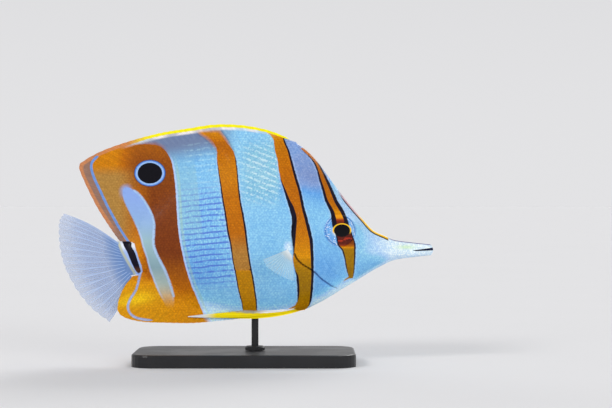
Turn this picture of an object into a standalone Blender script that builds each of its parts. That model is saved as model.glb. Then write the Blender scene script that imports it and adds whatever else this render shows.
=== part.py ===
"""Copperband butterflyfish, a life-size display model on a plain stand.

The frame has +X towards the snout, +Z up, the floor at Z = 0 and the origin below the middle
of the fish. Sizes are real ones in millimetres, and turn into metres where a mesh is made.
The fish's own heights are measured from its long axis, the level of the mouth and tail stem.
"""

import math

import bmesh
import bpy
import numpy as np
from mathutils import Matrix, Vector

MM = 0.001
GAP = 0.3  # clearance between pieces that touch
AXIS_HEIGHT = 42.0  # from the floor up to the fish's long axis

# Body, as heights of the back and belly and half-widths along X
SNOUT_TIP = 75.2
TAIL_END = -54.0
BACK = [
    (75.2, 5.3), (66.9, 6.2), (60.0, 7.1), (55.8, 8.8), (51.3, 11.0), (46.9, 15.6), (40.2, 23.4),
    (34.0, 31.6), (29.6, 37.7), (25.1, 42.6), (21.8, 45.1), (18.4, 47.0), (14.6, 47.4), (2, 44.4),
    (-14, 39.4), (-28, 31.6), (-38.8, 19.6), (-45.6, 6.8), (-52, 6.5),
]
BELLY = [
    (75.2, 1.2), (66.9, 0.3), (60.2, -0.7), (53.6, -3.6), (44.7, -8.9), (38.2, -12.8),
    (31.3, -17.0), (22.4, -21.0), (12, -22.9), (0, -23.2), (-16, -20.6), (-28, -15.2),
    (-41.6, -6.4), (-52, -7.4),
]
HALF_WIDTH = [
    (75.2, 1.5), (66, 1.8), (57, 2.6), (50, 4.6), (42, 7.6), (32, 9.8), (20, 10.6), (4, 10.2),
    (-12, 8.4), (-28, 5.6), (-40, 3.0), (-46, 1.5), (-50, 0.85), (-54, 0.7),
]
WIDEST_LEVEL = 0.46  # share of the height at which a section is widest
UPPER_SHARPNESS = (1.35, 2.1)  # ahead and astern; 1 gives an ellipse, more a sharper ridge
LOWER_SHARPNESS = (1.15, 1.9)
SHARPENING = (8.0, -30.0)  # X from and to which the ridges sharpen
TIP_ROUND = 1.3  # length over which the snout's end rounds off
THINNEST = 0.2  # least half-width or half-height of a section
STATION_STEP = 2.8
SECTION_POINTS = 30

# Cuts that part the body, seen from the side
GILL_SLIT = [
    (22.4, 20.4), (20.4, 15.2), (19.2, 10.4), (19.4, 5.2), (20.4, 0.8), (22.8, -2.0),
    (27.2, -4.8), (30.8, -8.2), (34.8, -11.0), (38.4, -12.7),
]
CHEEK_EDGE = [(36.4, -9.2), (33.2, -4.8), (30.0, 1.6), (28.0, 8.0), (27.2, 14.4), (25.4, 19.6)]
NAPE_CUT = [(21.6, 60), (21.6, 42), (22.2, 30)]
THROAT_CUT = [(39.6, -14.4), (40.6, -30)]
SNOUT_CUT_X = 57.2
MOUTH_CORNER = (67.4, 3.0)
MOUTH_GAP_AT_TIP = 0.9
MOUTH_RISE = 0.35  # of the lower lip's tip above the mouth's corner
LIP_RISE = 0.25
LIP_HEIGHT = 0.55
LIP_LEVEL = 0.4  # of the lips' fullest line above the mouth's corner
STEM_CUT = [(-41.0, 40), (-44.4, 8.0), (-40.0, -7.2), (-36.0, -30)]
TAIL_ROOT = [(-51.2, 6.6), (-46.4, -6.8)]
GILL_COVER_RISE = 0.4
GILL_COVER_DEPTH = 1.2
SIDE_REACH = 40  # half-width of every cutter that runs right through the body

# Head details
EYE_PLACE = (37.9, 11.2)
EYE_RADIUS = 6.5
EYE_BULGE = 1.5
EYE_DEPTH = 3.4
EYE_SUNK = 0.5  # the widest ring of the eyeball lies this far below the skin
EYE_RIM = 0.55
EYE_SEGMENTS = (26, 12)
RIM_SEGMENTS = (36, 8)
NOSTRILS = [((46.6, 9.8), 0.6), ((48.2, 8.6), 0.45)]

# Fins, as pairs of root and tip from the first ray to the last, seen from the side
DORSAL = [
    ((18.8, 46.2), (16.6, 48.3)), ((12.0, 45.4), (9.0, 51.2)), ((4.0, 43.8), (-1.0, 53.1)),
    ((-5.0, 41.6), (-12.0, 53.4)), ((-13.6, 38.8), (-23.0, 51.8)), ((-21.2, 35.6), (-34.4, 49.9)),
    ((-27.2, 31.6), (-46.6, 46.6)), ((-31.2, 28.0), (-57.0, 42.9)), ((-33.6, 25.6), (-64.4, 38.9)),
    ((-34.8, 24.0), (-66.3, 36.4)), ((-36.8, 21.6), (-64.3, 30.8)), ((-39.2, 18.0), (-59.4, 20.8)),
    ((-42.0, 12.4), (-54.0, 12.2)), ((-44.6, 7.6), (-49.4, 7.3)),
]
DORSAL_SPINES = 9
DORSAL_RAYS = 38
DORSAL_SPINY_SHARE = 0.42  # share of the fin's base that its spines take up
DORSAL_ROOT_THICK = 2.4
DORSAL_NOTCH = 0.4  # depth of the edge's notch between two rays
ANAL = [
    ((-0.8, -22.8), (-1.8, -24.2)), ((-8.0, -22.0), (-11.2, -25.2)), ((-15.2, -20.2), (-20.8, -26.0)),
    ((-22.0, -17.6), (-31.2, -25.9)), ((-27.6, -15.0), (-40.8, -25.5)), ((-32.0, -12.4), (-47.8, -23.9)),
    ((-34.8, -10.6), (-50.8, -21.2)), ((-36.8, -9.2), (-50.6, -18.0)), ((-39.2, -7.6), (-47.9, -13.6)),
    ((-41.4, -6.2), (-44.5, -8.8)),
]
ANAL_SPINES = 3
ANAL_RAYS = 23
ANAL_SPINY_SHARE = 0.2
ANAL_ROOT_THICK = 2.2
ANAL_NOTCH = 0.3
CAUDAL_TIPS = [
    (-73.2, 17.8), (-75.0, 14.6), (-75.2, 8.6), (-74.4, 1.6), (-72.0, -5.6), (-67.6, -13.6),
    (-62.0, -20.4), (-54.8, -26.0),
]
CAUDAL_RAYS = 17
CAUDAL_SWING = 5.0  # how far the tail fin's rear edge is swept to the fish's left
CAUDAL_BOW = 1.3  # how far its outer rays arch away from the middle of the fin
CAUDAL_CURVE = 1.7  # power of the way along a ray with which the swing grows
CAUDAL_ROOT_THICK = 1.6
CAUDAL_NOTCH = 0.5
PELVIC_TIPS = [(-5.0, -23.9), (-22.8, -23.4), (-10.0, -21.9), (-2.0, -20.9), (5.0, -20.1), (11.0, -19.3)]
PELVIC_SAG = 1.2  # how far the folded fin hangs below a straight line
PELVIC_ROOT = [(22.6, -20.8), (22.0, -18.8)]
PELVIC_RAYS = 6
PELVIC_SIDE = [(24, 2.2), (12, 2.8), (0, 3.1), (-10, 2.6), (-24, 2.0)]  # distance from the midplane
PELVIC_LEAN = 0.35  # sideways spread for each millimetre up the flank
PELVIC_ROOT_THICK = 1.3
PELVIC_SUNK = 1.5
PECTORAL_ROOT = [(17.0, 3.4), (18.6, 1.2)]
PECTORAL_RAYS = 14
PECTORAL_LENGTH = 20.5
PECTORAL_SHORTEST = 0.72  # length of the lowest ray, as a share of the longest
PECTORAL_AXIS = Vector((-0.26, 0.88, -0.39)).normalized()  # mean ray of the left fin
PECTORAL_FAN = Vector((-0.72, 0.0, 0.70))  # way from the lowest ray to the highest
PECTORAL_SPREAD = (18, -26)  # degrees from the mean ray to the top and bottom ones
PECTORAL_ROOT_THICK = 1.2
PECTORAL_NOTCH = 0.6
PECTORAL_SUNK = 1.8
PECTORAL_PEAK = 0.2  # share of the way from the top ray to the bottom one at which the fin is longest

ROOT_SUNK = 2.6  # how far rays run on inside the body before they are trimmed
MEMBRANE = 0.5
RAY_RELIEF = 0.36
SPINE_RELIEF = 0.6
FIN_ROWS = 7

# Stand
BASE_SIZE = (88, 46, 5)
BASE_CORNER = 9
BASE_EDGE = 0.8
ROD_X = 4.0
ROD_RADIUS = 1.4
COLLAR_RADIUS = 4.0
COLLAR_HEIGHT = 1.6
COLLAR_EDGE = 0.6  # bevel round the collar's top
ROD_SEGMENTS = 24
ROD_TOP = -20.5  # level inside the body, before the rod is trimmed

COLOURS = {
    "skin": ((0.62, 0.78, 0.90), 0.35),
    "fin": ((0.80, 0.38, 0.04), 0.4),
    "clear_fin": ((0.70, 0.80, 0.88), 0.3),
    "eye": ((0.02, 0.02, 0.03), 0.1),
    "stand": ((0.03, 0.03, 0.035), 0.45),
}


def through(points):
    """A smooth function through (x, value) points that doesn't overshoot them."""
    xs, values = (np.array(column, float) for column in zip(*sorted(points)))
    steps = np.diff(xs)
    slopes = np.diff(values) / steps
    tangents = np.zeros(len(xs))
    tangents[0], tangents[-1] = slopes[0], slopes[-1]
    for i in range(1, len(xs) - 1):
        if slopes[i - 1] * slopes[i] > 0:
            tangents[i] = 2 / (1 / slopes[i - 1] + 1 / slopes[i])

    def value(x):
        i = int(np.clip(np.searchsorted(xs, x) - 1, 0, len(steps) - 1))
        t = min(1.0, max(0.0, (x - xs[i]) / steps[i]))
        rise = values[i + 1] - values[i]
        start, end = tangents[i] * steps[i], tangents[i + 1] * steps[i]
        return (
            values[i]
            + t * start
            + t * t * (3 * rise - 2 * start - end)
            + t * t * t * (start + end - 2 * rise)
        )

    return value


def follow(points, t):
    """The point at parameter t, from 0 to len(points) - 1, of a smooth curve through points."""
    points = np.array(points, float)
    i = int(min(max(t, 0), len(points) - 1.000001))
    f = t - i
    before = points[max(i - 1, 0)]
    start, end = points[i], points[i + 1]
    after = points[min(i + 2, len(points) - 1)]
    return 0.5 * (
        2 * start
        + (end - before) * f
        + (2 * before - 5 * start + 4 * end - after) * f**2
        + (3 * start - before - 3 * end + after) * f**3
    )


def parameters_at(points, shares):
    """Parameters of follow() at shares of the length of the curve through points."""
    fine = np.linspace(0, len(points) - 1, 400)
    line = np.array([follow(points, t) for t in fine])
    run = np.concatenate([[0], np.cumsum(np.linalg.norm(np.diff(line, axis=0), axis=1))])
    return np.interp(np.array(shares) * run[-1], run, fine)


back, belly, girth = through(BACK), through(BELLY), through(HALF_WIDTH)


def lip_swell(x, z):
    """Thickness of the lips that border the slit of the mouth."""
    corner_x, corner_z = MOUTH_CORNER
    ahead = min(1.0, max(0.0, (x - corner_x) / 2))
    return LIP_RISE * ahead * math.exp(-(((z - corner_z - LIP_LEVEL) / LIP_HEIGHT) ** 2))


def section(x, swell):
    """Top, widest level, bottom and half-width of the body's section at x, grown by swell."""
    into_tip = max(0.0, (x - SNOUT_TIP + TIP_ROUND) / TIP_ROUND)
    share = math.sqrt(max(0.02, 1 - into_tip**2))
    middle = (back(x) + belly(x)) / 2
    half = max(THINNEST, (back(x) - belly(x)) / 2 * share + swell)
    level = middle - half + 2 * half * WIDEST_LEVEL
    return middle + half, level, middle - half, max(THINNEST, girth(x) * share + swell)


def flank(x, z, swell=0.0):
    """Distance from the midplane to the skin at x and z."""
    top, level, bottom, wide = section(x, swell)
    reach, (ahead, astern) = (top - level, UPPER_SHARPNESS) if z > level else (level - bottom, LOWER_SHARPNESS)
    start, end = SHARPENING
    share = min(1.0, max(0.0, (start - x) / (start - end)))
    sharpness = ahead + (astern - ahead) * share * share * (3 - 2 * share)
    lift = min(1.0, abs(z - level) / reach)
    return wide * (1 - lift**2) ** (sharpness / 2) + lip_swell(x, z)


def skin_frame(x, z, side):
    """Point on the skin at x and z, and the outward normal there. Side is 1 for left, -1 for right."""
    step = 1.0
    slope_x = (flank(x + step, z) - flank(x - step, z)) / (2 * step)
    slope_z = (flank(x, z + step) - flank(x, z - step)) / (2 * step)
    normal = Vector((-slope_x, side, -slope_z)).normalized()
    return Vector((x, side * flank(x, z), z)), normal


def make_mesh(name, points, faces):
    """An object from points in millimetres, above the fish's axis, with its faces turned out."""
    mesh = bpy.data.meshes.new(name)
    lifted = [(p[0] * MM, p[1] * MM, (p[2] + AXIS_HEIGHT) * MM) for p in points]
    mesh.from_pydata(lifted, [], faces)
    build = bmesh.new()
    build.from_mesh(mesh)
    bmesh.ops.triangulate(build, faces=[f for f in build.faces if len(f.verts) > 4])
    bmesh.ops.recalc_face_normals(build, faces=build.faces)
    build.to_mesh(mesh)
    build.free()
    obj = bpy.data.objects.new(name, mesh)
    bpy.context.scene.collection.objects.link(obj)
    return obj


def combine(obj, tool, operation):
    """Applies a Boolean of tool on obj, then removes tool."""
    modifier = obj.modifiers.new(operation.lower(), "BOOLEAN")
    modifier.operation = operation
    modifier.solver = "EXACT"
    modifier.object = tool
    bpy.context.view_layer.update()
    graph = bpy.context.evaluated_depsgraph_get()
    mesh = bpy.data.meshes.new_from_object(obj.evaluated_get(graph))
    obj.modifiers.clear()
    obj.data = mesh
    bpy.data.objects.remove(tool)
    return obj


def body_hull(name, swell=0.0):
    """The whole body without fins, from snout to tail stem, grown by swell all round."""
    count = round((SNOUT_TIP - TAIL_END) / STATION_STEP)
    stations = list(np.linspace(TAIL_END, SNOUT_TIP - TIP_ROUND, count))
    stations += [SNOUT_TIP - TIP_ROUND * (1 - s) for s in (0.5, 0.85, 1.0)]
    points = []
    for x in stations:
        top, level, bottom, _ = section(x, swell)
        for j in range(SECTION_POINTS):
            angle = 2 * math.pi * j / SECTION_POINTS
            reach = top - level if math.cos(angle) > 0 else level - bottom
            z = level + reach * math.cos(angle)
            points.append((x, math.copysign(flank(x, z, swell), math.sin(angle)), z))
    faces = []
    for i in range(len(stations) - 1):
        for j in range(SECTION_POINTS):
            after = (j + 1) % SECTION_POINTS
            low, high = i * SECTION_POINTS, (i + 1) * SECTION_POINTS
            faces.append((low + j, low + after, high + after, high + j))
    faces.append(tuple(range(SECTION_POINTS)))
    faces.append(tuple((len(stations) - 1) * SECTION_POINTS + j for j in range(SECTION_POINTS)))
    return make_mesh(name, points, faces)


def prism(name, outline, low=-SIDE_REACH, high=SIDE_REACH):
    """A cutter with the given side-view outline, from low to high across the fish."""
    count = len(outline)
    points = [(x, y, z) for y in (low, high) for x, z in outline]
    faces = [tuple(range(count)), tuple(range(count, 2 * count))]
    faces += [(i, (i + 1) % count, count + (i + 1) % count, count + i) for i in range(count)]
    return make_mesh(name, points, faces)


def shifted(line, distance):
    """A side-view line moved sideways by distance, to the left of its own direction."""
    line = np.array(line, float)
    along = np.gradient(line, axis=0)
    along /= np.linalg.norm(along, axis=1)[:, None]
    return line + distance * np.stack([-along[:, 1], along[:, 0]], axis=1)


def smoothed(points, count):
    return [follow(points, t) for t in np.linspace(0, len(points) - 1, count)]


def head_border():
    """The line where head and torso part, from above the nape round the gill slit and out at the throat."""
    return [*NAPE_CUT, *smoothed(GILL_SLIT, 28), *THROAT_CUT]


def gill_outline(shrink):
    """Outline of the gill cover, drawn in by shrink all round."""
    ring = [*smoothed(GILL_SLIT, 28), *smoothed(CHEEK_EDGE, 14)]
    closed = np.array([ring[-1], *ring, ring[0]], float)
    return shifted(closed, shrink)[1:-1]


def eye_frame(side):
    place, normal = skin_frame(*EYE_PLACE, side)
    return place - normal * EYE_SUNK, normal


def eyeball(name, side, grow=0.0):
    """An eye that bulges a little outwards and lies deeper inwards."""
    build = bmesh.new()
    bmesh.ops.create_uvsphere(build, u_segments=EYE_SEGMENTS[0], v_segments=EYE_SEGMENTS[1], radius=1)
    centre, normal = eye_frame(side)
    turn = normal.to_track_quat("Z", "Y").to_matrix()
    points = []
    for v in build.verts:
        depth = EYE_BULGE + EYE_SUNK if v.co.z > 0 else EYE_DEPTH
        wide = EYE_RADIUS + grow
        points.append(centre + turn @ Vector((v.co.x * wide, v.co.y * wide, v.co.z * (depth + grow))))
    build.verts.index_update()
    faces = [[v.index for v in f.verts] for f in build.faces]
    build.free()
    return make_mesh(name, points, faces)


def eye_rim(side):
    """The ring of skin round an eye, half sunk in the head."""
    centre, normal = eye_frame(side)
    turn = normal.to_track_quat("Z", "Y").to_matrix()
    around, across = RIM_SEGMENTS
    points = []
    for i in range(around):
        a = 2 * math.pi * i / around
        for j in range(across):
            b = 2 * math.pi * j / across
            radius = EYE_RADIUS + EYE_RIM + EYE_RIM * math.cos(b)
            local = Vector((radius * math.cos(a), radius * math.sin(a), EYE_RIM * math.sin(b)))
            points.append(centre + turn @ local + normal * EYE_SUNK)
    faces = []
    for i in range(around):
        for j in range(across):
            ring, after = i * across, (i + 1) % around * across
            faces.append((ring + j, ring + (j + 1) % across, after + (j + 1) % across, after + j))
    return make_mesh("eye_rim", points, faces)


def nostril(place, radius, side):
    centre, _ = skin_frame(*place, side)
    build = bmesh.new()
    bmesh.ops.create_icosphere(build, subdivisions=2, radius=radius)
    points = [centre + v.co for v in build.verts]
    build.verts.index_update()
    faces = [[v.index for v in f.verts] for f in build.faces]
    build.free()
    return make_mesh("nostril", points, faces)


def make_head():
    border = shifted(head_border(), GAP / 2)
    front = [(SNOUT_CUT_X - GAP / 2, border[-1][1]), (SNOUT_CUT_X - GAP / 2, border[0][1])]
    head = combine(body_hull("head"), prism("head_cutter", [*border, *front]), "INTERSECT")
    for side in (-1, 1):
        combine(head, eye_rim(side), "UNION")
    for side in (-1, 1):
        combine(head, eyeball("socket", side, grow=GAP), "DIFFERENCE")
        for place, radius in NOSTRILS:
            combine(head, nostril(place, radius, side), "DIFFERENCE")
    pocket = prism("gill_pocket", gill_outline(-GAP / 2))
    combine(pocket, body_hull("pocket_floor", -GILL_COVER_DEPTH - GAP), "DIFFERENCE")
    return combine(head, pocket, "DIFFERENCE")


def make_gill_cover(name, side):
    """A plate that stands a little proud of head and flank, on one side."""
    low, high = sorted((0.0, side * SIDE_REACH))
    outline = prism("cover_cutter", gill_outline(GAP / 2), low, high)
    cover = combine(body_hull(name, GILL_COVER_RISE), outline, "INTERSECT")
    return combine(cover, body_hull("cover_floor", -GILL_COVER_DEPTH), "DIFFERENCE")


def make_snout():
    x, z = MOUTH_CORNER
    start, end, far = SNOUT_CUT_X + GAP / 2, x - GAP / 2, SNOUT_TIP + 2
    upper = [
        (start, 20), (far, 20), (far, z + MOUTH_RISE + MOUTH_GAP_AT_TIP), (end, z + GAP / 2),
        (end, -20), (start, -20),
    ]
    return combine(body_hull("snout"), prism("snout_cutter", upper), "INTERSECT")


def make_lower_jaw():
    x, z = MOUTH_CORNER
    start, far = x + GAP / 2, SNOUT_TIP + 2
    lower = [(start, z - GAP / 2), (far, z + MOUTH_RISE), (far, -20), (start, -20)]
    return combine(body_hull("lower_jaw"), prism("jaw_cutter", lower), "INTERSECT")


def make_torso():
    border = shifted(head_border(), -GAP / 2)
    stem = shifted(STEM_CUT[::-1], -GAP / 2)
    outline = [*border, *stem]
    return combine(body_hull("torso"), prism("torso_cutter", outline), "INTERSECT")


def make_tail_stem():
    cut = shifted(STEM_CUT, -GAP / 2)
    (top_x, top_z), (low_x, low_z) = TAIL_ROOT
    lean = (low_x - top_x) / (low_z - top_z)
    end = [(low_x + lean * (z - low_z), z) for z in (cut[-1][1], cut[0][1])]
    return combine(body_hull("tail_stem"), prism("stem_cutter", [*cut, *end]), "INTERSECT")


def blade(
    name, roots, tips, rays, root_thick, facing, swing=None, spines=0, spiny_share=0.0,
    sunk=ROOT_SUNK, notch=0.0,
):
    """A fin as one closed sheet, with a raised column on each ray and a low one between each two.

    Roots and tips are matching 3-D points, and the sheet's thickness lies along facing. Swing
    moves a point by its share s of the way across the rays and v of the way from root to tip.
    The first rays may be spines, which take up spiny_share of the base, and the fin's edge is
    notched between two rays.
    """
    spiny, soft = 2 * spines, 2 * (rays - spines) - 1
    shares = [*np.linspace(0, spiny_share, spiny, endpoint=False), *np.linspace(spiny_share, 1, soft)]
    columns = []
    for c, t in enumerate(parameters_at(roots, shares)):
        root, tip = Vector(follow(roots, t)), Vector(follow(tips, t))
        on_ray = c % 2 == 0
        length = (tip - root).length
        last = 1.0 if on_ray else 1 - min(0.5, notch / length)
        column = []
        for v in np.linspace(-sunk / length, last, FIN_ROWS + 1):
            place = root.lerp(tip, v)
            out = max(0.0, v)
            if swing:
                place += swing(place, shares[c], out)
            thick = MEMBRANE + (root_thick - MEMBRANE) * (1 - out) ** 2
            if on_ray:
                thick += (SPINE_RELIEF if c < spiny else RAY_RELIEF) * (1 - 0.5 * out)
            column.append((place, thick / 2))
        columns.append(column)
    return sheet_mesh(name, columns, facing)


def sheet_mesh(name, columns, facing):
    """A closed sheet from columns of (place, half-thickness), split alike on both faces."""
    places = np.array([[list(p) for p, _ in column] for column in columns])
    halves = np.array([[h for _, h in column] for column in columns])
    wide, high = halves.shape
    shift = np.array(Vector(facing).normalized()) * halves[..., None]
    points = [*(places + shift).reshape(-1, 3), *(places - shift).reshape(-1, 3)]
    other = wide * high
    faces = []
    for i in range(wide - 1):
        for j in range(high - 1):
            a, b, c, d = i * high + j, (i + 1) * high + j, (i + 1) * high + j + 1, i * high + j + 1
            for triangle in ((a, b, c), (a, c, d)):
                faces.append(triangle)
                faces.append(tuple(k + other for k in reversed(triangle)))
    edge = [i * high for i in range(wide)]
    edge += [(wide - 1) * high + j for j in range(1, high)]
    edge += [i * high + high - 1 for i in range(wide - 2, -1, -1)]
    edge += [j for j in range(high - 2, 0, -1)]
    for a, b in zip(edge, edge[1:] + edge[:1]):
        faces += [(a, a + other, b + other), (a, b + other, b)]
    return make_mesh(name, points, faces)


def largest_piece(obj):
    """Keeps the largest closed surface of obj and drops any crumbs a cut has left."""
    build = bmesh.new()
    build.from_mesh(obj.data)
    left, pieces = set(build.verts), []
    while left:
        piece, edge = set(), {left.pop()}
        while edge:
            piece |= edge
            edge = {e.other_vert(v) for v in edge for e in v.link_edges} - piece
        left -= piece
        pieces.append(piece)
    pieces.sort(key=len)
    bmesh.ops.delete(build, geom=[v for piece in pieces[:-1] for v in piece], context="VERTS")
    build.to_mesh(obj.data)
    build.free()
    return obj


def trimmed(fin):
    """The fin cut back to meet the body with the usual gap."""
    return largest_piece(combine(fin, body_hull("trim", GAP), "DIFFERENCE"))


def flat_pairs(pairs):
    """Root and tip lists of a fin in the midplane."""
    return [[(x, 0.0, z) for x, z in ends] for ends in zip(*pairs)]


def make_dorsal_fin():
    roots, tips = flat_pairs(DORSAL)
    return trimmed(blade(
        "dorsal_fin", roots, tips, DORSAL_RAYS, DORSAL_ROOT_THICK, (0, 1, 0),
        spines=DORSAL_SPINES, spiny_share=DORSAL_SPINY_SHARE, notch=DORSAL_NOTCH,
    ))


def make_anal_fin():
    roots, tips = flat_pairs(ANAL)
    return trimmed(blade(
        "anal_fin", roots, tips, ANAL_RAYS, ANAL_ROOT_THICK, (0, 1, 0),
        spines=ANAL_SPINES, spiny_share=ANAL_SPINY_SHARE, notch=ANAL_NOTCH,
    ))


def make_caudal_fin():
    (top_x, top_z), (low_x, low_z) = TAIL_ROOT
    count = len(CAUDAL_TIPS)
    shares = np.linspace(0, 1, count)
    roots = [(top_x - GAP + s * (low_x - top_x), 0.0, top_z + s * (low_z - top_z)) for s in shares]
    tips = [(x, 0.0, z) for x, z in CAUDAL_TIPS]

    def swing(_, s, v):
        return Vector((0, CAUDAL_SWING * v**CAUDAL_CURVE, CAUDAL_BOW * (1 - 2 * s) * math.sin(math.pi * v)))

    return blade(
        "caudal_fin", roots, tips, CAUDAL_RAYS, CAUDAL_ROOT_THICK, (0, 1, 0),
        swing=swing, sunk=0.0, notch=CAUDAL_NOTCH,
    )


def make_pelvic_fin(name, side):
    """A pelvic fin folded back along the belly."""
    shares = np.linspace(0, 1, len(PELVIC_TIPS))
    (low_x, low_z), (top_x, top_z) = PELVIC_ROOT
    out = through(PELVIC_SIDE)

    def placed(x, z):
        return (x, side * (out(x) + PELVIC_LEAN * (z - low_z)), z)

    roots = [placed(low_x + s * (top_x - low_x), low_z + s * (top_z - low_z)) for s in shares]
    tips = [placed(x, z) for x, z in PELVIC_TIPS]

    def swing(place, _, v):
        return Vector((0, placed(place.x, place.z)[1] - place.y, -PELVIC_SAG * math.sin(math.pi * v)))

    return trimmed(blade(
        name, roots, tips, PELVIC_RAYS, PELVIC_ROOT_THICK, (0, side, -PELVIC_LEAN),
        swing=swing, spines=1, spiny_share=1 / (PELVIC_RAYS - 1), sunk=PELVIC_SUNK,
    ))


def make_pectoral_fin(name, side):
    """A pectoral fin held out from the flank and spread, its rays fanned in one plane."""
    mirror = Vector((1, side, 1))
    fan = (PECTORAL_FAN - PECTORAL_FAN.dot(PECTORAL_AXIS) * PECTORAL_AXIS).normalized()
    roots, tips = [], []
    steps = 7
    for i in range(steps):
        s = i / (steps - 1)
        angle = math.radians(PECTORAL_SPREAD[0] + s * (PECTORAL_SPREAD[1] - PECTORAL_SPREAD[0]))
        ray = PECTORAL_AXIS * math.cos(angle) + fan * math.sin(angle)
        from_peak = abs(s - PECTORAL_PEAK) / (1 - PECTORAL_PEAK)
        length = PECTORAL_LENGTH * (1 - (1 - PECTORAL_SHORTEST) * from_peak)
        (top_x, top_z), (low_x, low_z) = PECTORAL_ROOT
        x, z = top_x + s * (low_x - top_x), top_z + s * (low_z - top_z)
        root = Vector((x, flank(x, z), z))
        roots.append(root * mirror)
        tips.append((root + ray * length) * mirror)
    facing = PECTORAL_AXIS.cross(fan) * mirror
    return trimmed(blade(
        name, roots, tips, PECTORAL_RAYS, PECTORAL_ROOT_THICK, facing,
        sunk=PECTORAL_SUNK, notch=PECTORAL_NOTCH,
    ))


def make_base():
    build = bmesh.new()
    bmesh.ops.create_cube(build, size=1)
    bmesh.ops.scale(build, vec=Vector(BASE_SIZE) * MM, verts=build.verts)
    bmesh.ops.translate(build, vec=(0, 0, BASE_SIZE[2] * MM / 2), verts=build.verts)
    upright = [e for e in build.edges if abs(e.verts[0].co.z - e.verts[1].co.z) > MM]
    bmesh.ops.bevel(
        build, geom=upright, offset=BASE_CORNER * MM, segments=7, profile=0.5, affect="EDGES"
    )
    top = [e for e in build.edges if min(v.co.z for v in e.verts) > (BASE_SIZE[2] - 0.1) * MM]
    bmesh.ops.bevel(build, geom=top, offset=BASE_EDGE * MM, segments=2, profile=0.5, affect="EDGES")
    mesh = bpy.data.meshes.new("stand_base")
    build.to_mesh(mesh)
    build.free()
    base = bpy.data.objects.new("stand_base", mesh)
    bpy.context.scene.collection.objects.link(base)
    return base


def make_rod():
    """A turned rod with a collar at its foot, trimmed to the belly at its top."""
    foot = BASE_SIZE[2] + GAP - AXIS_HEIGHT
    profile = [
        (COLLAR_RADIUS, foot), (COLLAR_RADIUS, foot + COLLAR_HEIGHT - COLLAR_EDGE),
        (COLLAR_RADIUS - COLLAR_EDGE, foot + COLLAR_HEIGHT), (ROD_RADIUS, foot + COLLAR_HEIGHT),
        (ROD_RADIUS, ROD_TOP),
    ]
    around = ROD_SEGMENTS
    points = []
    for radius, z in profile:
        for i in range(around):
            a = 2 * math.pi * i / around
            points.append((ROD_X + radius * math.cos(a), radius * math.sin(a), z))
    faces = [tuple(range(around)), tuple(range(len(points) - around, len(points)))]
    for k in range(len(profile) - 1):
        for i in range(around):
            low, high, after = k * around, (k + 1) * around, (i + 1) % around
            faces.append((low + i, low + after, high + after, high + i))
    return trimmed(make_mesh("stand_rod", points, faces))


def paint(obj, slot):
    colour, roughness = COLOURS[slot]
    material = bpy.data.materials.get(slot) or bpy.data.materials.new(slot)
    material.use_nodes = True
    shader = material.node_tree.nodes["Principled BSDF"]
    shader.inputs["Base Color"].default_value = (*colour, 1)
    shader.inputs["Roughness"].default_value = roughness
    shader.inputs["Metallic"].default_value = 0.0
    obj.data.materials.clear()
    obj.data.materials.append(material)
    obj.data.shade_smooth()
    obj.data.set_sharp_from_angle(angle=math.radians(35))


def main():
    for obj in list(bpy.data.objects):
        bpy.data.objects.remove(obj)
    for make in (make_head, make_snout, make_lower_jaw, make_torso, make_tail_stem):
        paint(make(), "skin")
    for name, side in (("left", 1), ("right", -1)):
        paint(make_gill_cover(f"gill_cover_{name}", side), "skin")
        paint(eyeball(f"eye_{name}", side), "eye")
        paint(make_pelvic_fin(f"pelvic_fin_{name}", side), "fin")
        paint(make_pectoral_fin(f"pectoral_fin_{name}", side), "clear_fin")
    paint(make_dorsal_fin(), "fin")
    paint(make_anal_fin(), "fin")
    paint(make_caudal_fin(), "clear_fin")
    paint(make_base(), "stand")
    paint(make_rod(), "stand")


main()
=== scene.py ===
import math

import bmesh
import bpy
import numpy as np
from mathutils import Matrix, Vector
from mathutils.kdtree import KDTree


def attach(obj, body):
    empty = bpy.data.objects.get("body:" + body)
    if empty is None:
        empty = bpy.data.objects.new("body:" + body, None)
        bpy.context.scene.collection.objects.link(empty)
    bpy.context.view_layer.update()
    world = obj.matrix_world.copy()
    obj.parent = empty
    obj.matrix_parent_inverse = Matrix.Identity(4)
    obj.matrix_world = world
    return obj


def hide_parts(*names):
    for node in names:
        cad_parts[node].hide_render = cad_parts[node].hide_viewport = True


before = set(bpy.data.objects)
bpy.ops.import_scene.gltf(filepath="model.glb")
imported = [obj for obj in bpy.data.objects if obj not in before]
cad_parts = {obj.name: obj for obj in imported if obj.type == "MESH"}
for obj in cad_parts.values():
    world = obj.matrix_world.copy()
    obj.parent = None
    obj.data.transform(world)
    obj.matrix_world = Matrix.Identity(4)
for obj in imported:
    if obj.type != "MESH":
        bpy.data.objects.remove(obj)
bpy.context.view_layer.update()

# Lengths below are real millimetres, and heights are from the fish's long axis, unless a line
# says otherwise. Marks on the fish are placed by pixels of the photograph, PIXEL apart.
MM = 0.001
AXIS_HEIGHT = 42.0
PIXEL = 0.4
PHOTO_SIZE = (612, 408)
PHOTO_ORIGIN = (245, 258)  # pixel at the middle of the fish's long axis

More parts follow.
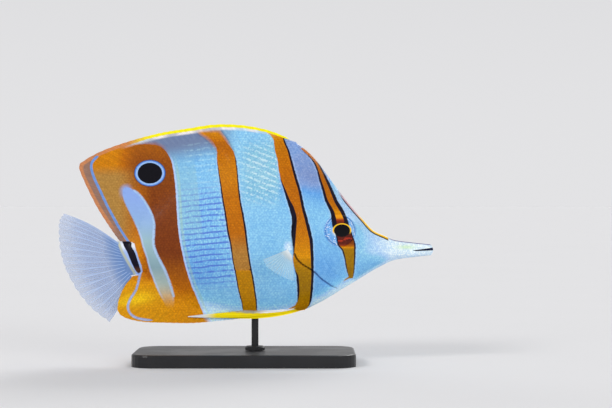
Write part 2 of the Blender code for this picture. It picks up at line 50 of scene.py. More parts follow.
# Body, as in the solids
SNOUT_TIP = 75.2
SKIN_END = -49.0
BACK = [
    (75.2, 5.3), (66.9, 6.2), (60.0, 7.1), (55.8, 8.8), (51.3, 11.0), (46.9, 15.6), (40.2, 23.4),
    (34.0, 31.6), (29.6, 37.7), (25.1, 42.6), (21.8, 45.1), (18.4, 47.0), (14.6, 47.4), (2, 44.4),
    (-14, 39.4), (-28, 31.6), (-38.8, 19.6), (-45.6, 6.8), (-52, 6.5),
]
BELLY = [
    (75.2, 1.2), (66.9, 0.3), (60.2, -0.7), (53.6, -3.6), (44.7, -8.9), (38.2, -12.8),
    (31.3, -17.0), (22.4, -21.0), (12, -22.9), (0, -23.2), (-16, -20.6), (-28, -15.2),
    (-41.6, -6.4), (-52, -7.4),
]
HALF_WIDTH = [
    (75.2, 1.5), (66, 1.8), (57, 2.6), (50, 4.6), (42, 7.6), (32, 9.8), (20, 10.6), (4, 10.2),
    (-12, 8.4), (-28, 5.6), (-40, 3.0), (-46, 1.5), (-50, 0.85), (-54, 0.7),
]
WIDEST_LEVEL = 0.46
UPPER_SHARPNESS = (1.35, 2.1)  # at the shoulder and at the tail
LOWER_SHARPNESS = (1.15, 1.9)
SHARPENING = (8, -30)  # from where to where the sharpness grows rearwards
TIP_ROUND = 1.3
TAIL_LEAN = -0.358
MOUTH_WALL = 0.15

GILL_SLIT = [
    (22.4, 20.4), (20.4, 15.2), (19.2, 10.4), (19.4, 5.2), (20.4, 0.8), (22.8, -2.0),
    (27.2, -4.8), (30.8, -8.2), (34.8, -11.0), (38.4, -12.7),
]
CHEEK_EDGE = [(27.8, 20.0), (29.0, 12.0), (30.4, 4.0), (33.0, -2.6), (36.8, -6.6), (42.0, -8.4)]
MOUTH_CORNER = (67.4, 3.0)
MOUTH_SLIT = [
    (66.8, 3.0), (68.2, 3.26), (75.2, 4.2), (78, 4.6), (78, 3.0), (75.2, 3.1), (68.2, 2.8),
]
NO_BORDER = 0.35  # pixels by which an edge with no black border stays clear of black
LIP_RISE = 0.25
LIP_HEIGHT = 0.55
NOSTRILS = [((46.6, 9.8), 0.6), ((48.2, 8.6), 0.45)]

EYE_PLACE = (37.9, 11.2)
EYE_RADIUS = 6.5
EYE_BULGE = 1.5
EYE_DEPTH = 3.4
EYE_SUNK = 0.5
PUPIL_PLACE = (341.5, 230.2)  # pixel
PUPIL_SIZE = (3.2, 2.45)

# Fins, as in the solids
DORSAL = [
    ((18.8, 46.2), (16.6, 48.3)), ((12.0, 45.4), (9.0, 51.2)), ((4.0, 43.8), (-1.0, 53.1)),
    ((-5.0, 41.6), (-12.0, 53.4)), ((-13.6, 38.8), (-23.0, 51.8)), ((-21.2, 35.6), (-34.4, 49.9)),
    ((-27.2, 31.6), (-46.6, 46.6)), ((-31.2, 28.0), (-57.0, 42.9)), ((-33.6, 25.6), (-64.4, 38.9)),
    ((-34.8, 24.0), (-66.3, 36.4)), ((-36.8, 21.6), (-64.3, 30.8)), ((-39.2, 18.0), (-59.4, 20.8)),
    ((-42.0, 12.4), (-54.0, 12.2)), ((-44.6, 6.4), (-49.8, 6.3)),
]
ANAL = [
    ((-0.8, -22.8), (-1.8, -24.2)), ((-8.0, -22.0), (-11.2, -25.2)), ((-15.2, -20.2), (-20.8, -26.0)),
    ((-22.0, -17.6), (-31.2, -25.9)), ((-27.6, -15.0), (-40.8, -25.5)), ((-32.0, -12.4), (-47.8, -23.9)),
    ((-34.8, -10.6), (-50.8, -21.2)), ((-36.8, -9.2), (-50.5, -16.8)), ((-39.2, -7.6), (-48.3, -11.6)),
    ((-41.4, -6.2), (-44.9, -7.2)),
]
TAIL_ROOT = [(-51.2, 6.6), (-45.4, -9.4)]
CAUDAL_TIPS = [
    (-73.2, 17.8), (-75.0, 14.6), (-75.2, 8.6), (-74.4, 1.6), (-72.0, -5.6), (-67.6, -13.6),
    (-62.0, -20.4), (-54.8, -26.0),
]
CAUDAL_SWING = 5.0
CAUDAL_BOW = 1.3
PELVIC_TIPS = [(-5.0, -23.9), (-22.8, -23.4), (-10.0, -21.9), (-2.0, -20.9), (5.0, -20.1), (11.0, -19.3)]
PELVIC_SAG = 1.2
PELVIC_ROOT = [(22.6, -20.8), (22.0, -18.8)]
PELVIC_SIDE = [(24, 2.2), (12, 2.8), (0, 3.1), (-10, 2.6), (-24, 2.0)]
PELVIC_LEAN = 0.35
PECTORAL_ROOT = [(17.0, 3.4), (18.6, 1.2)]
PECTORAL_PEAK = 0.2
PECTORAL_LENGTH = 20.5
PECTORAL_SHORTEST = 0.72
PECTORAL_AXIS = Vector((-0.26, 0.88, -0.39)).normalized()
PECTORAL_FAN = Vector((-0.72, 0.0, 0.70))
PECTORAL_SPREAD = (18, -26)

# Bars of the pattern. Each row has a level, the left and right edge, and the width of the
# black border inside each edge, in pixels of the photograph.
EYE_BAR = [
    (148, 300, 311, 0, 0), (155, 307, 315, 0.6, 0.8), (162, 313, 318.6, 1.2, 1.4),
    (170, 316.6, 322.8, 1.4, 1.6), (180, 319, 328, 2, 2.4), (190, 322, 332.8, 2.4, 3),
    (200, 324.5, 337.2, 2.8, 3.4), (208, 328, 342, 3.6, 3.8), (214, 330.5, 345, 4, 3.6),
    (219, 331, 347, 4.8, 3.6), (226, 332, 349, 4.6, 4.6), (236, 335.5, 352.5, 1.4, 0.8),
    (244, 337, 355, 1.4, 1.4), (250, 341.5, 355.2, 1.4, 1.6), (260, 344.3, 354.7, 1.2, 1.2),
    (270, 346.3, 354, 0.9, 0.9), (278, 349.4, 352.6, 0.2, 0.2),
]
CHIN_STREAK = [(351, 276), (346.5, 278), (343.5, 280.5)]
GILL_BAR = [
    (127, 256, 272, 0, 0), (131, 264, 281, 0, 0.8), (135, 270, 284, 0, 1.4), (140, 273.5, 284.8, 0, 1.5),
    (150, 275, 289, 0, 1.7), (160, 277.5, 292, 0, 2), (170, 279, 294.7, 0, 2.2),
    (180, 281, 297.7, 0.6, 2.5), (190, 284, 300.7, 1.8, 2.5), (200, 287, 303, 3, 2.7),
    (208, 289.5, 304.7, 4.6, 2.8), (220, 292, 308, 5, 3), (232, 291.5, 311, 4.6, 3.2),
    (240, 292.5, 312.7, 3, 3.2), (250, 293.5, 313.3, 1, 3), (260, 293.3, 313.6, 0, 2.8),
    (269, 295, 313.6, 0.6, 2.5), (276, 296.4, 313.5, 2.2, 2.4), (290, 297.5, 312.7, 2, 2.2),
    (299, 297.5, 311.5, 1, 1.8), (304, 295.5, 310, 0, 1), (308, 289, 307, 0, 0.3),
    (312, 278, 302, 0, 0), (318, 262, 290, 0, 0),
]
STEM_END = [(116.5, 238), (118, 243), (121.5, 251.7), (128.6, 264), (133.2, 272), (136, 281)]
MIDDLE_BAR = [
    (130, 196, 220, 0, 0), (134, 199, 223.5, 0, 0.4), (138, 205, 227, 0, 0.6),
    (145, 212, 231.5, 0, 0.9), (152, 216, 235, 0.2, 1), (160, 217, 236.5, 0.4, 1),
    (170, 218.5, 238, 0.7, 1), (185, 220.8, 239.6, 1.2, 1.3), (200, 223, 241.6, 1.5, 1.5),
    (215, 225.8, 244.6, 1.6, 1.7), (230, 228, 247.2, 1.6, 1.8), (245, 231.3, 249, 1.4, 1.7),
    (260, 233.5, 251, 1, 1.5), (275, 236.5, 253.7, 1, 1.4), (290, 239, 256, 1, 1.4),
    (302, 242, 257.3, 0.9, 1.2), (312, 243.5, 257.5, 0.4, 0.8),
]
MIDDLE_BAR_CROSSING = (269.4, 0.1)  # row of a dark line across the bar, and its half width in mm
REAR_FRONT = [
    (138, 150), (143, 157), (146, 163), (153, 168.3), (163, 172), (175, 174.2), (190, 176),
    (205, 177.2), (220, 178.3), (235, 180), (250, 182.7), (262, 185.3), (273, 188.3), (285, 192),
    (294, 195.8), (303, 199), (312, 203), (330, 215),
]
REAR_TOP = [(60, 125), (118, 139), (129, 142.6), (144, 141.6), (156, 142.6), (165, 146)]
WEDGE = [
    (129, 187), (138, 193), (144, 200), (149, 208), (153, 216), (155, 224), (155, 233),
    (154.6, 240), (155.4, 247), (158, 254), (162, 262), (166, 270), (169, 278), (171.5, 286),
    (173.5, 294), (174.5, 302), (173, 309), (168, 309), (163, 300), (159, 293), (156, 286),
    (153, 278), (150, 270), (148, 262), (146, 254), (143, 246), (141, 238), (138, 230), (134, 221),
    (130, 213), (126, 205), (123, 197), (122.5, 190), (125, 187),
]
DORSAL_LINE = [
    (104, 153.5), (97, 157), (92.5, 162), (91.5, 168), (94.3, 178), (100, 190), (107, 205),
    (115, 220), (122, 232), (129.5, 243),
]
ANAL_LINE = [
    (141, 271), (139, 280), (136, 290), (131, 298), (128.5, 304), (128.3, 309), (131, 314),
    (136, 317.5), (145, 319.5), (158, 320.5), (168, 320.5),
]
STEM_PALE = [
    (106, 239), (117, 240.6), (124, 241.6), (132, 241.8), (135, 243.5), (135.8, 247), (138.6, 256),
    (141.8, 265), (143, 271.5), (140.5, 275), (134, 276), (127, 277), (121, 266), (115, 254), (108, 246),
]
STEM_BLACK = [
    (122.2, 241.4), (131.1, 241.6), (131.8, 246.5), (135.5, 252.5), (139.2, 263.9), (141.0, 271.6),
    (138.6, 273), (136.2, 271), (132.6, 263.9), (127.8, 252.5), (124.3, 246.5),
]
WEDGE_EDGE = [(129, 187.5), *WEDGE[1:15], (174.5, 300)]
OCELLUS = (150.1, 173.2)
OCELLUS_SIZE = (4.86, 4.1)
FAR = 99.0  # field value for a mark that is nowhere near
SIDES = (("left", 1), ("right", -1))

# Rows of scales on the flank, and the columns of scales along them
ROW_PITCH = 2.24
ROW_SLANT = 0.1
ROW_BEND = 0.5  # how much more the rows slope down forwards ahead of the middle bar
ROW_BEND_START = 240  # pixel column
ROW_TURN = 1.5  # how softly that bend sets in
CELL_PITCH = 1.75

# Tone along each bar, from (pixel row, tone) pairs
EYE_BAR_TONE = [
    (150, 0.35), (170, 0.40), (195, 0.38), (208, 0.46), (213, 0.62), (217, 0.56), (221.5, 0.1),
    (236, 0.02), (243, 0.06), (247, 0.60), (250, 0.88), (280, 0.94),
]
GILL_BAR_TONE = [
    (134, 0.6), (142, 0.48), (160, 0.42), (190, 0.38), (206, 0.38), (218, 0.41), (235, 0.46),
    (252, 0.58), (264, 0.74), (285, 0.88), (305, 0.72),
]
MIDDLE_BAR_TONE = [
    (130, 0.56), (138, 0.46), (146, 0.34), (158, 0.44), (175, 0.48), (200, 0.42), (230, 0.40),
    (246, 0.36), (262, 0.40), (268, 0.42), (270.5, 0.70), (280, 0.72), (310, 0.71),
]
REAR_BAR_TONE = [
    (140, 0.28), (150, 0.22), (165, 0.12), (200, 0.03), (250, 0.0), (272, 0.22), (290, 0.42),
    (305, 0.59), (325, 0.62),
]
CHIN_STREAK_TONE = 0.8

# Scales: pitch along a row and from row to row, and each plate's length, half width and lift
BODY_PITCH = (1.2, 0.96)
HEAD_PITCH = (0.85, 0.72)
BODY_PLATE = (0.95, 0.66, 0.09)
HEAD_PLATE = (0.62, 0.48, 0.06)
SHEATH_PLATE = (0.95, 0.66, 0.08)
SHEATH_REACH = {"dorsal": 0.66, "anal": 0.6}  # share of the rays under scales
SHEATH_MARGIN = 2.3
PLACE_JITTER = 0.12  # share of the pitch
PLACE_SEED = 3
TONE_SEED = 7
NAPE_START = 21.6
THROAT_TOP = -12.7
THROAT_START = 39.5
LAYOUT_X = (-66, 76)
LAYOUT_Z = (-28, 54)
LAYOUT_PATCH = 0.0015  # half size of a scale's patch on the flat layout

# How a fin's faces rise out of the skin: width of the blend, and how far they sink back in it
BLEND = 2.0
BLEND_SINK = 0.015
DEEP_SINK = 0.25

# Stage and camera. The floor's half side is in metres.
FLOOR_REACH = 40.0
HORIZON = (0.767, 0.766, 0.781)
ZENITH = (0.50, 0.50, 0.51)
SKY_RISE = 0.6  # share of the way up by which the sky has its upper tone
LENS = 100.0
SENSOR = 36.0
LIGHTS = [  # name, direction, width in degrees, strength, colour, whether it shows in gloss
    ("key", (-0.7, -0.7, 0.6), 16, 0.9, (1.0, 0.98, 0.95), True),
    ("fill", (0.6, -0.75, 0.12), 40, 1.15, (0.97, 0.99, 1.0), False),
    ("back", (0.3, 0.75, 0.55), 30, 1.1, (1, 1, 1), True),
    ("back_fill", (-0.5, 0.8, 0.12), 40, 0.7, (1, 1, 1), False),
]


def smooth(low, high, value):
    t = np.clip((value - low) / (high - low), 0, 1)
    return t * t * (3 - 2 * t)


def hump(value, middle, width):
    return np.exp(-(((value - middle) / width) ** 2))


def through(points):
    """A smooth function through (x, value) points that doesn't overshoot them."""
    xs, values = np.array(sorted(points), float).T
    steps = np.diff(xs)
    slopes = np.diff(values) / steps
    ahead, behind = slopes[1:], slopes[:-1]
    turning = ahead * behind <= 0
    both = np.where(turning, 1.0, ahead + behind)
    middle = np.where(turning, 0.0, 2 * ahead * behind / both)
    tangents = np.concatenate([slopes[:1], middle, slopes[-1:]])

    def value(x):
        i = np.clip(np.searchsorted(xs, x) - 1, 0, len(steps) - 1)
        t = np.clip((x - xs[i]) / steps[i], 0, 1)
        rise = values[i + 1] - values[i]
        start, end = tangents[i] * steps[i], tangents[i + 1] * steps[i]
        return (
            values[i]
            + t * start
            + t**2 * (3 * rise - 2 * start - end)
            + t**3 * (start + end - 2 * rise)
        )

    return value


def follow(points, t):
    """Points at parameters t, from 0 to len(points) - 1, of a smooth curve through points."""
    points = np.array(points, float)
    t = np.clip(np.asarray(t, float), 0, len(points) - 1.000001)
    i = t.astype(int)
    f = (t - i)[..., None]
    before, start = points[np.maximum(i - 1, 0)], points[i]
    end, after = points[i + 1], points[np.minimum(i + 2, len(points) - 1)]
    return 0.5 * (
        2 * start
        + (end - before) * f
        + (2 * before - 5 * start + 4 * end - after) * f**2
        + (3 * start - before - 3 * end + after) * f**3
    )


def smoothed(points, per_span=6):
    count = (len(points) - 1) * per_span + 1
    return follow(points, np.linspace(0, len(points) - 1, count))


def parameters_at(points, shares):
    """Parameters of follow() at shares of the length of the curve through points."""
    fine = np.linspace(0, len(points) - 1, 600)
    run = np.concatenate([[0], np.cumsum(np.linalg.norm(np.diff(follow(points, fine), axis=0), axis=1))])
    return np.interp(np.asarray(shares) * run[-1], run, fine)


def real(pixels):
    """Side-view millimetres of the photograph's pixels."""
    pixels = np.array(pixels, float)
    across, up = pixels[..., 0] - PHOTO_ORIGIN[0], PHOTO_ORIGIN[1] - pixels[..., 1]
    return np.stack([across, up], axis=-1) * PIXEL


def line_distance(line, x, z):
    """Distance of points from a line, and the share of the line's length at which it is nearest."""
    best = np.full(x.shape, np.inf)
    share = np.zeros(x.shape)
    runs = np.concatenate([[0], np.cumsum(np.linalg.norm(np.diff(line, axis=0), axis=1))])
    for k in range(len(line) - 1):
        (ax, az), (bx, bz) = line[k], line[k + 1]
        dx, dz = bx - ax, bz - az
        t = np.clip(((x - ax) * dx + (z - az) * dz) / (dx * dx + dz * dz + 1e-12), 0, 1)
        d = np.hypot(x - ax - t * dx, z - az - t * dz)
        nearer = d < best
        best = np.where(nearer, d, best)
        share = np.where(nearer, (runs[k] + t * (runs[k + 1] - runs[k])) / runs[-1], share)
    return best, share


def crossing_of(line, z):
    """Where a line that runs downwards crosses a level."""
    return np.interp(z, line[::-1, 1], line[::-1, 0])


def side_of(line, x, z):
    """Distance from a line that runs downwards, positive ahead of it, and the share of its length."""
    distance, share = line_distance(line, x, z)
    return np.where(x > crossing_of(line, z), distance, -distance), share


def inside_distance(outline, x, z):
    """Distance of points from a closed outline, positive inside it."""
    ring = np.vstack([outline, outline[:1]])
    distance, _ = line_distance(ring, x, z)
    within = np.zeros(x.shape, bool)
    for (ax, az), (bx, bz) in zip(ring[:-1], ring[1:]):
        if az != bz:
            crossing = (az > z) != (bz > z)
            within ^= crossing & (x < (bx - ax) * (z - az) / (bz - az) + ax)
    return np.where(within, distance, -distance)


def smooth_max(a, b, blend):
    h = np.clip(0.5 + 0.5 * (a - b) / blend, 0, 1)
    return b + (a - b) * h + blend * h * (1 - h)


def slope_of(curve, at, step=0.4):
    return (curve(at + step) - curve(at - step)) / (2 * step)


def towards(value, goal, share):
    return value + (goal - value) * share


def level_of(row):
    return (PHOTO_ORIGIN[1] - row) * PIXEL


def place_of(column):
    return (column - PHOTO_ORIGIN[0]) * PIXEL


def ramps(x, z):
    """Two functions that rise from 0 to 1 between pixel columns and between pixel rows."""
    def columns(start, end):
        return smooth(place_of(start), place_of(end), x)

    def levels(start, end):
        return smooth(level_of(start), level_of(end), z)

    return columns, levels


def blot(x, z, column, row, wide, high):
    """A soft blot around a pixel, of a width and height in millimetres."""
    return hump(x, place_of(column), wide) * hump(z, level_of(row), high)


def in_ellipse(x, z, middle, size):
    """Distance inside an ellipse around a pixel, in millimetres like its size."""
    away = np.hypot((x - place_of(middle[0])) / size[0], (z - level_of(middle[1])) / size[1])
    return (1 - away) * sum(size) / 2


# The body's shape

back, belly, girth = through(BACK), through(BELLY), through(HALF_WIDTH)


def section(x):
    into_tip = np.maximum(0.0, (x - SNOUT_TIP + TIP_ROUND) / TIP_ROUND)
    share = np.sqrt(np.maximum(0.02, 1 - into_tip**2))
    middle = (back(x) + belly(x)) / 2
    half = (back(x) - belly(x)) / 2 * share
    return middle + half, middle - half + 2 * half * WIDEST_LEVEL, middle - half, girth(x) * share


def flank(x, z):
    """Distance from the midplane to the plain skin."""
    top, level, bottom, wide = section(x)
    above = z > level
    reach = np.where(above, top - level, level - bottom)
    rearward = smooth(*SHARPENING, x)
    (upper, upper_rear), (lower, lower_rear) = UPPER_SHARPNESS, LOWER_SHARPNESS
    above_level, below_level = towards(upper, upper_rear, rearward), towards(lower, lower_rear, rearward)
    sharpness = np.where(above, above_level, below_level)
    lift = np.minimum(1.0, np.abs(z - level) / reach)
    ahead = np.clip((x - MOUTH_CORNER[0]) / 2, 0, 1)
    lips = LIP_RISE * ahead * hump(z, MOUTH_CORNER[1] + 0.4, LIP_HEIGHT)
    return wide * (1 - lift**2) ** (sharpness / 2) + lips


def slit_side(x, z):
    """Distance from the gill slit, positive on the head's side, and the share of its length."""
    return side_of(smoothed(GILL_SLIT), x, z)


def relief(x, z):
    """How far the folds of the head and gill covers raise the skin."""
    around_eye = np.hypot(x - EYE_PLACE[0], z - EYE_PLACE[1])
    raised = 0.5 * hump(around_eye, EYE_RADIUS + 0.45, 0.5)
    raised = raised - 0.7 * (1 - smooth(EYE_RADIUS - 1.6, EYE_RADIUS, around_eye))
    side, share = slit_side(x, z)
    ends = smooth(0.0, 0.12, share) * (1 - smooth(0.93, 1.0, share))
    cover = np.where(side > 0, 0.55 * np.exp(-np.maximum(side, 0) / 4.5), -0.5 * hump(side, 0, 0.55))
    raised = raised + ends * cover * smooth(0.0, 0.22, np.abs(side))
    cheek, along = line_distance(smoothed(CHEEK_EDGE), x, z)
    raised = raised - 0.16 * hump(cheek, 0, 0.45) * smooth(0, 0.2, along) * (1 - smooth(0.8, 1, along))
    for place, radius in NOSTRILS:
        away = np.hypot(x - place[0], z - place[1])
        raised = raised + 0.22 * hump(away, radius * 1.15, radius * 0.4) - 0.5 * hump(away, 0, radius * 0.7)
    return raised


def surface(x, z):
    """Distance from the midplane to the skin with its folds."""
    plain = flank(x, z)
    return plain + relief(x, z) * smooth(0.2, 1.6, plain)


# Marks


def bar_distance(rows, x, z):
    """Distance inside a bar, and how deep its black borders reach past the point."""
    rows = np.array(rows, float)
    rows[:, 3:] -= NO_BORDER * np.maximum(0, 1 - rows[:, 3:])
    levels = level_of(rows[:, 0])
    edges = [through(list(zip(levels, place_of(rows[:, k])))) for k in (1, 2)]
    borders = [through(list(zip(levels, rows[:, k] * PIXEL)))(z) for k in (3, 4)]
    from_edges = [
        sign * (x - edge(z)) / np.hypot(1, slope_of(edge, z)) for sign, edge in zip((1, -1), edges)
    ]
    ends = np.minimum(levels.max() - z, z - levels.min())
    inside = np.minimum(np.minimum(*from_edges), ends)
    return inside, np.maximum(borders[0] - from_edges[0], borders[1] - from_edges[1])


def tone_along(stops, z):
    return through([(level_of(row), tone) for row, tone in stops])(z)


def rear_bar(x, z):
    """Distance inside the rear bar, its tone and how far a place lies in its low, bright part."""
    columns, levels = ramps(x, z)
    front = through([(level_of(row), place_of(column)) for row, column in REAR_FRONT])
    top = through([(place_of(column), level_of(row)) for column, row in REAR_TOP])
    inside = (front(z) - x) / np.hypot(1, slope_of(front, z))
    inside = np.minimum(inside, np.where(x < place_of(170), top(x) - z, FAR))
    left = columns(154, 138)
    low = levels(274, 288) * columns(178, 160)
    tone = tone_along(REAR_BAR_TONE, z)
    for goal, share in (
        (0.34, left * levels(165, 200)), (0.5, left * levels(215, 250)),
        (0.5, columns(140, 114) * levels(190, 168)), (0.63, low),
    ):
        tone = towards(tone, goal, share)
    return inside, tone, low


def bar_fields(x, z):
    """Fields of whichever bar lies deepest at each place."""
    columns, levels = ramps(x, z)
    found = [bar_distance(rows, x, z) for rows in (EYE_BAR, GILL_BAR, MIDDLE_BAR)]
    bars, blacks = map(list, zip(*found))
    row, half_width = MIDDLE_BAR_CROSSING
    blacks[2] = np.maximum(blacks[2], half_width - np.abs(z - level_of(row)))
    rear, rear_tone, low = rear_bar(x, z)
    streak, along = line_distance(real(CHIN_STREAK), x, z)
    bars += [rear, 0.45 - 0.3 * along - streak]
    blacks += [np.full(x.shape, -FAR), np.full(x.shape, -FAR / 4)]
    tones = [tone_along(stops, z) for stops in (EYE_BAR_TONE, GILL_BAR_TONE, MIDDLE_BAR_TONE)]
    tones += [rear_tone, np.full(x.shape, CHIN_STREAK_TONE)]
    best = np.argmax(np.stack(bars), axis=0)
    fields = {
        key: np.choose(best, values)
        for key, values in (("copper", bars), ("black", blacks), ("tone", tones))
    }
    gold = columns(142, 116) * levels(164, 178) * levels(262, 225)
    in_middle = (best == 2) * levels(230, 256) * levels(270.5, 268)
    fields["gold"] = np.maximum(gold, 0.75 * in_middle)
    # Painted highlight: a bright yellow band along the anal fin's curve, a smaller spot towards its tip,
    # and a faint lift over the bar's low part.
    slope = 0.12 * (x - place_of(135))
    anal_highlight = 0.7 * blot(x, z - slope, 137, 299, 6.5, 2.6) + 0.08 * low
    fields["anal_highlight"] = anal_highlight + 0.25 * blot(x, z, 123, 303, 3.0, 1.3)
    return fields


def marks(x, z):
    """The pattern's fields at side-view places: distances in mm, positive inside a mark."""
    columns, levels = ramps(x, z)
    fields = bar_fields(x, z)
    fields["wedge"] = inside_distance(smoothed(real(WEDGE), 3), x, z)
    fields["wedge_edge"], share = line_distance(smoothed(real(WEDGE_EDGE)), x, z)
    fields["wedge_edge"] += 2 * (1 - smooth(0, 0.05, share) * (1 - smooth(0.97, 1, share)))
    fields["stem"] = inside_distance(real(STEM_PALE), x, z)
    fields["stem_end"], _ = side_of(real(STEM_END), x, z)
    fields["stem_black"] = inside_distance(smoothed(real(STEM_BLACK + STEM_BLACK[:1]), 4)[:-1], x, z)
    dorsal_line = smoothed(real(DORSAL_LINE))
    fields["dorsal_line"], share = line_distance(dorsal_line, x, z)
    fields["dorsal_line"] += 2 * smooth(0.08, 0.0, share)
    fields["anal_line"], share = line_distance(smoothed(real(ANAL_LINE)), x, z)
    fields["anal_line"] += 2 * smooth(0.75, 1.0, share)
    fields["outside"] = np.where(z > level_of(245), crossing_of(dorsal_line, z) - x, -FAR)
    fields["spot"] = in_ellipse(x, z, OCELLUS, OCELLUS_SIZE)
    fields["ground"] = ground_tone(x, z)
    # Low on the flank the colour is lifted brighter and bluer: partly the fish's pale belly, partly painted
    # light against the shade under the body.
    fields["under"] = smooth(10.0, 1.5, z - belly(x)) * columns(364, 348)
    bend = ROW_BEND * ROW_TURN * np.logaddexp(0, (x - place_of(ROW_BEND_START)) / ROW_TURN)
    fields["row_level"] = z - ROW_SLANT * x + bend
    fields["rows"] = columns(174, 184) * columns(246, 232) * levels(294, 272) * levels(176, 204)
    fields["dashes"] = columns(178, 192) * columns(292, 272) * levels(212, 190) * levels(132, 156)
    rim_level = through([tip for _, tip in DORSAL[:10]])
    fields["grey"] = smooth(15, 5.5, rim_level(x) - z) * columns(240, 212) * columns(140, 156)
    fields["crown"] = (back(x) - z) / np.hypot(1, slope_of(back, x))
    side, share = slit_side(x, z)
    shown = levels(248, 253) * (1 - smooth(0.9, 1.0, share))
    fields["gill"] = np.abs(side) + 2 * (1 - shown)
    fields["moss"] = blot(x, z, 406, 247, 3.4, 0.75)
    return fields


def ground_tone(x, z):
    """Tone of the pale ground, from 0, deep lavender, over 0.3, sky blue, to 1, white."""
    columns, levels = ramps(x, z)
    above_belly = z - belly(x)
    tone = 0.58 + 0.14 * blot(x, z, 262, 165, 14, 14) - 0.24 * blot(x, z, 324, 270, 9, 11)
    tone = tone - 0.16 * columns(300, 318) * levels(212, 180)
    tone = tone - 0.16 * columns(240, 205) * levels(235, 265) * levels(292, 278)
    tone = towards(tone, 0.88, columns(350, 378))
    tone = towards(tone, 0.99, columns(376, 396))
    nape = columns(277, 285) * levels(216, 168) * columns(334, 322)
    tone = towards(tone, 0.13 - 0.12 * hump(z, level_of(182), 6), nape)
    forehead = columns(328, 338) * levels(236, 214) * columns(376, 360)
    tone = towards(tone, 0.86, 0.9 * forehead)
    # Painted highlight: a white spot on the skin at the pectoral fin's root.
    tone = tone + 0.42 * blot(x, z, 288.5, 247, 1.8, 2.6)
    tone = tone - 0.06 * columns(226, 214) * levels(196, 180)
    tone = towards(tone, 0.5, columns(340, 358) * columns(400, 374) * levels(250, 265))
    # Paler along the lower edge, over the throat and low on the belly: partly the fish's own pale
    # underside, partly painted light making up for the shade under the body. Under the white snout this
    # first step leaves the edge a little darker, a slight painted shade.
    tone = towards(tone, 0.92, 0.8 * smooth(1.9, 0.6, above_belly) * columns(343, 351))
    behind_snout = columns(358, 344)
    throat = smooth(4.5, 0.8, above_belly) * columns(306, 316) * behind_snout
    tone = towards(tone, 0.95, throat)
    return tone + 0.34 * smooth(7.0, 0.5, above_belly) * behind_snout * (1 - throat)


# Meshes


def link(name, data):
    obj = bpy.data.objects.new(name, data)
    bpy.context.scene.collection.objects.link(obj)
    return obj


def make_piece(name, points, faces, smooth_shading=True):
    """A piece from an array of points in millimetres above the fish's axis."""
    mesh = bpy.data.meshes.new(name)
    lifted = (np.asarray(points, float) + [0, 0, AXIS_HEIGHT]) * MM
    mesh.from_pydata(lifted.tolist(), [], faces.tolist() if hasattr(faces, "tolist") else faces)
    mesh.update()
    if smooth_shading:
        mesh.shade_smooth()
    return link(name, mesh)


def grid_faces(wide, high, around=False):
    """Quads of a grid of points, numbered i * high + j, closed round j if around is set."""
    i, j = np.meshgrid(np.arange(wide - 1), np.arange(high if around else high - 1), indexing="ij")
    after = (j + 1) % high
    a, b = i * high + j, (i + 1) * high + j
    c, d = (i + 1) * high + after, i * high + after
    return np.stack([a, b, c, d], axis=-1).reshape(-1, 4)


def places_of(mesh):
    """The places of a mesh's points, in millimetres above the fish's axis."""
    places = np.empty(len(mesh.vertices) * 3)
    mesh.vertices.foreach_get("co", places)
    return places.reshape(-1, 3) / MM - [0, 0, AXIS_HEIGHT]


def store(mesh, fields):
    for key, given in fields.items():
        values = np.broadcast_to(np.asarray(given, np.float32), (len(mesh.vertices),))
        mesh.attributes.new(key, "FLOAT", "POINT").data.foreach_set("value", np.ascontiguousarray(values))


def add_fields(obj, **given):
    """Stores the pattern's fields on every point of a piece, worked out from where it lies."""
    places = places_of(obj.data)
    fields = marks(places[:, 0], places[:, 2])
    fields.update({"margin": FAR, "ray": 0.0, "rim": 0.0, "across": 0.0, "plate": 0.5})
    fields.update(given)
    store(obj.data, fields)


def recalculated(obj, merge=False):
    build = bmesh.new()
    build.from_mesh(obj.data)
    if merge:
        bmesh.ops.remove_doubles(build, verts=build.verts, dist=1e-7)
    bmesh.ops.recalc_face_normals(build, faces=build.faces)
    build.to_mesh(obj.data)
    build.free()


def keep(obj, paint, slot, *nodes):
    """Gives a piece its material, unless it has its own, and ties it to the frame."""
    if paint:
        obj.data.materials.clear()
        obj.data.materials.append(paint)
    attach(obj, "root")
    if nodes:
        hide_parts(*nodes)
    return obj


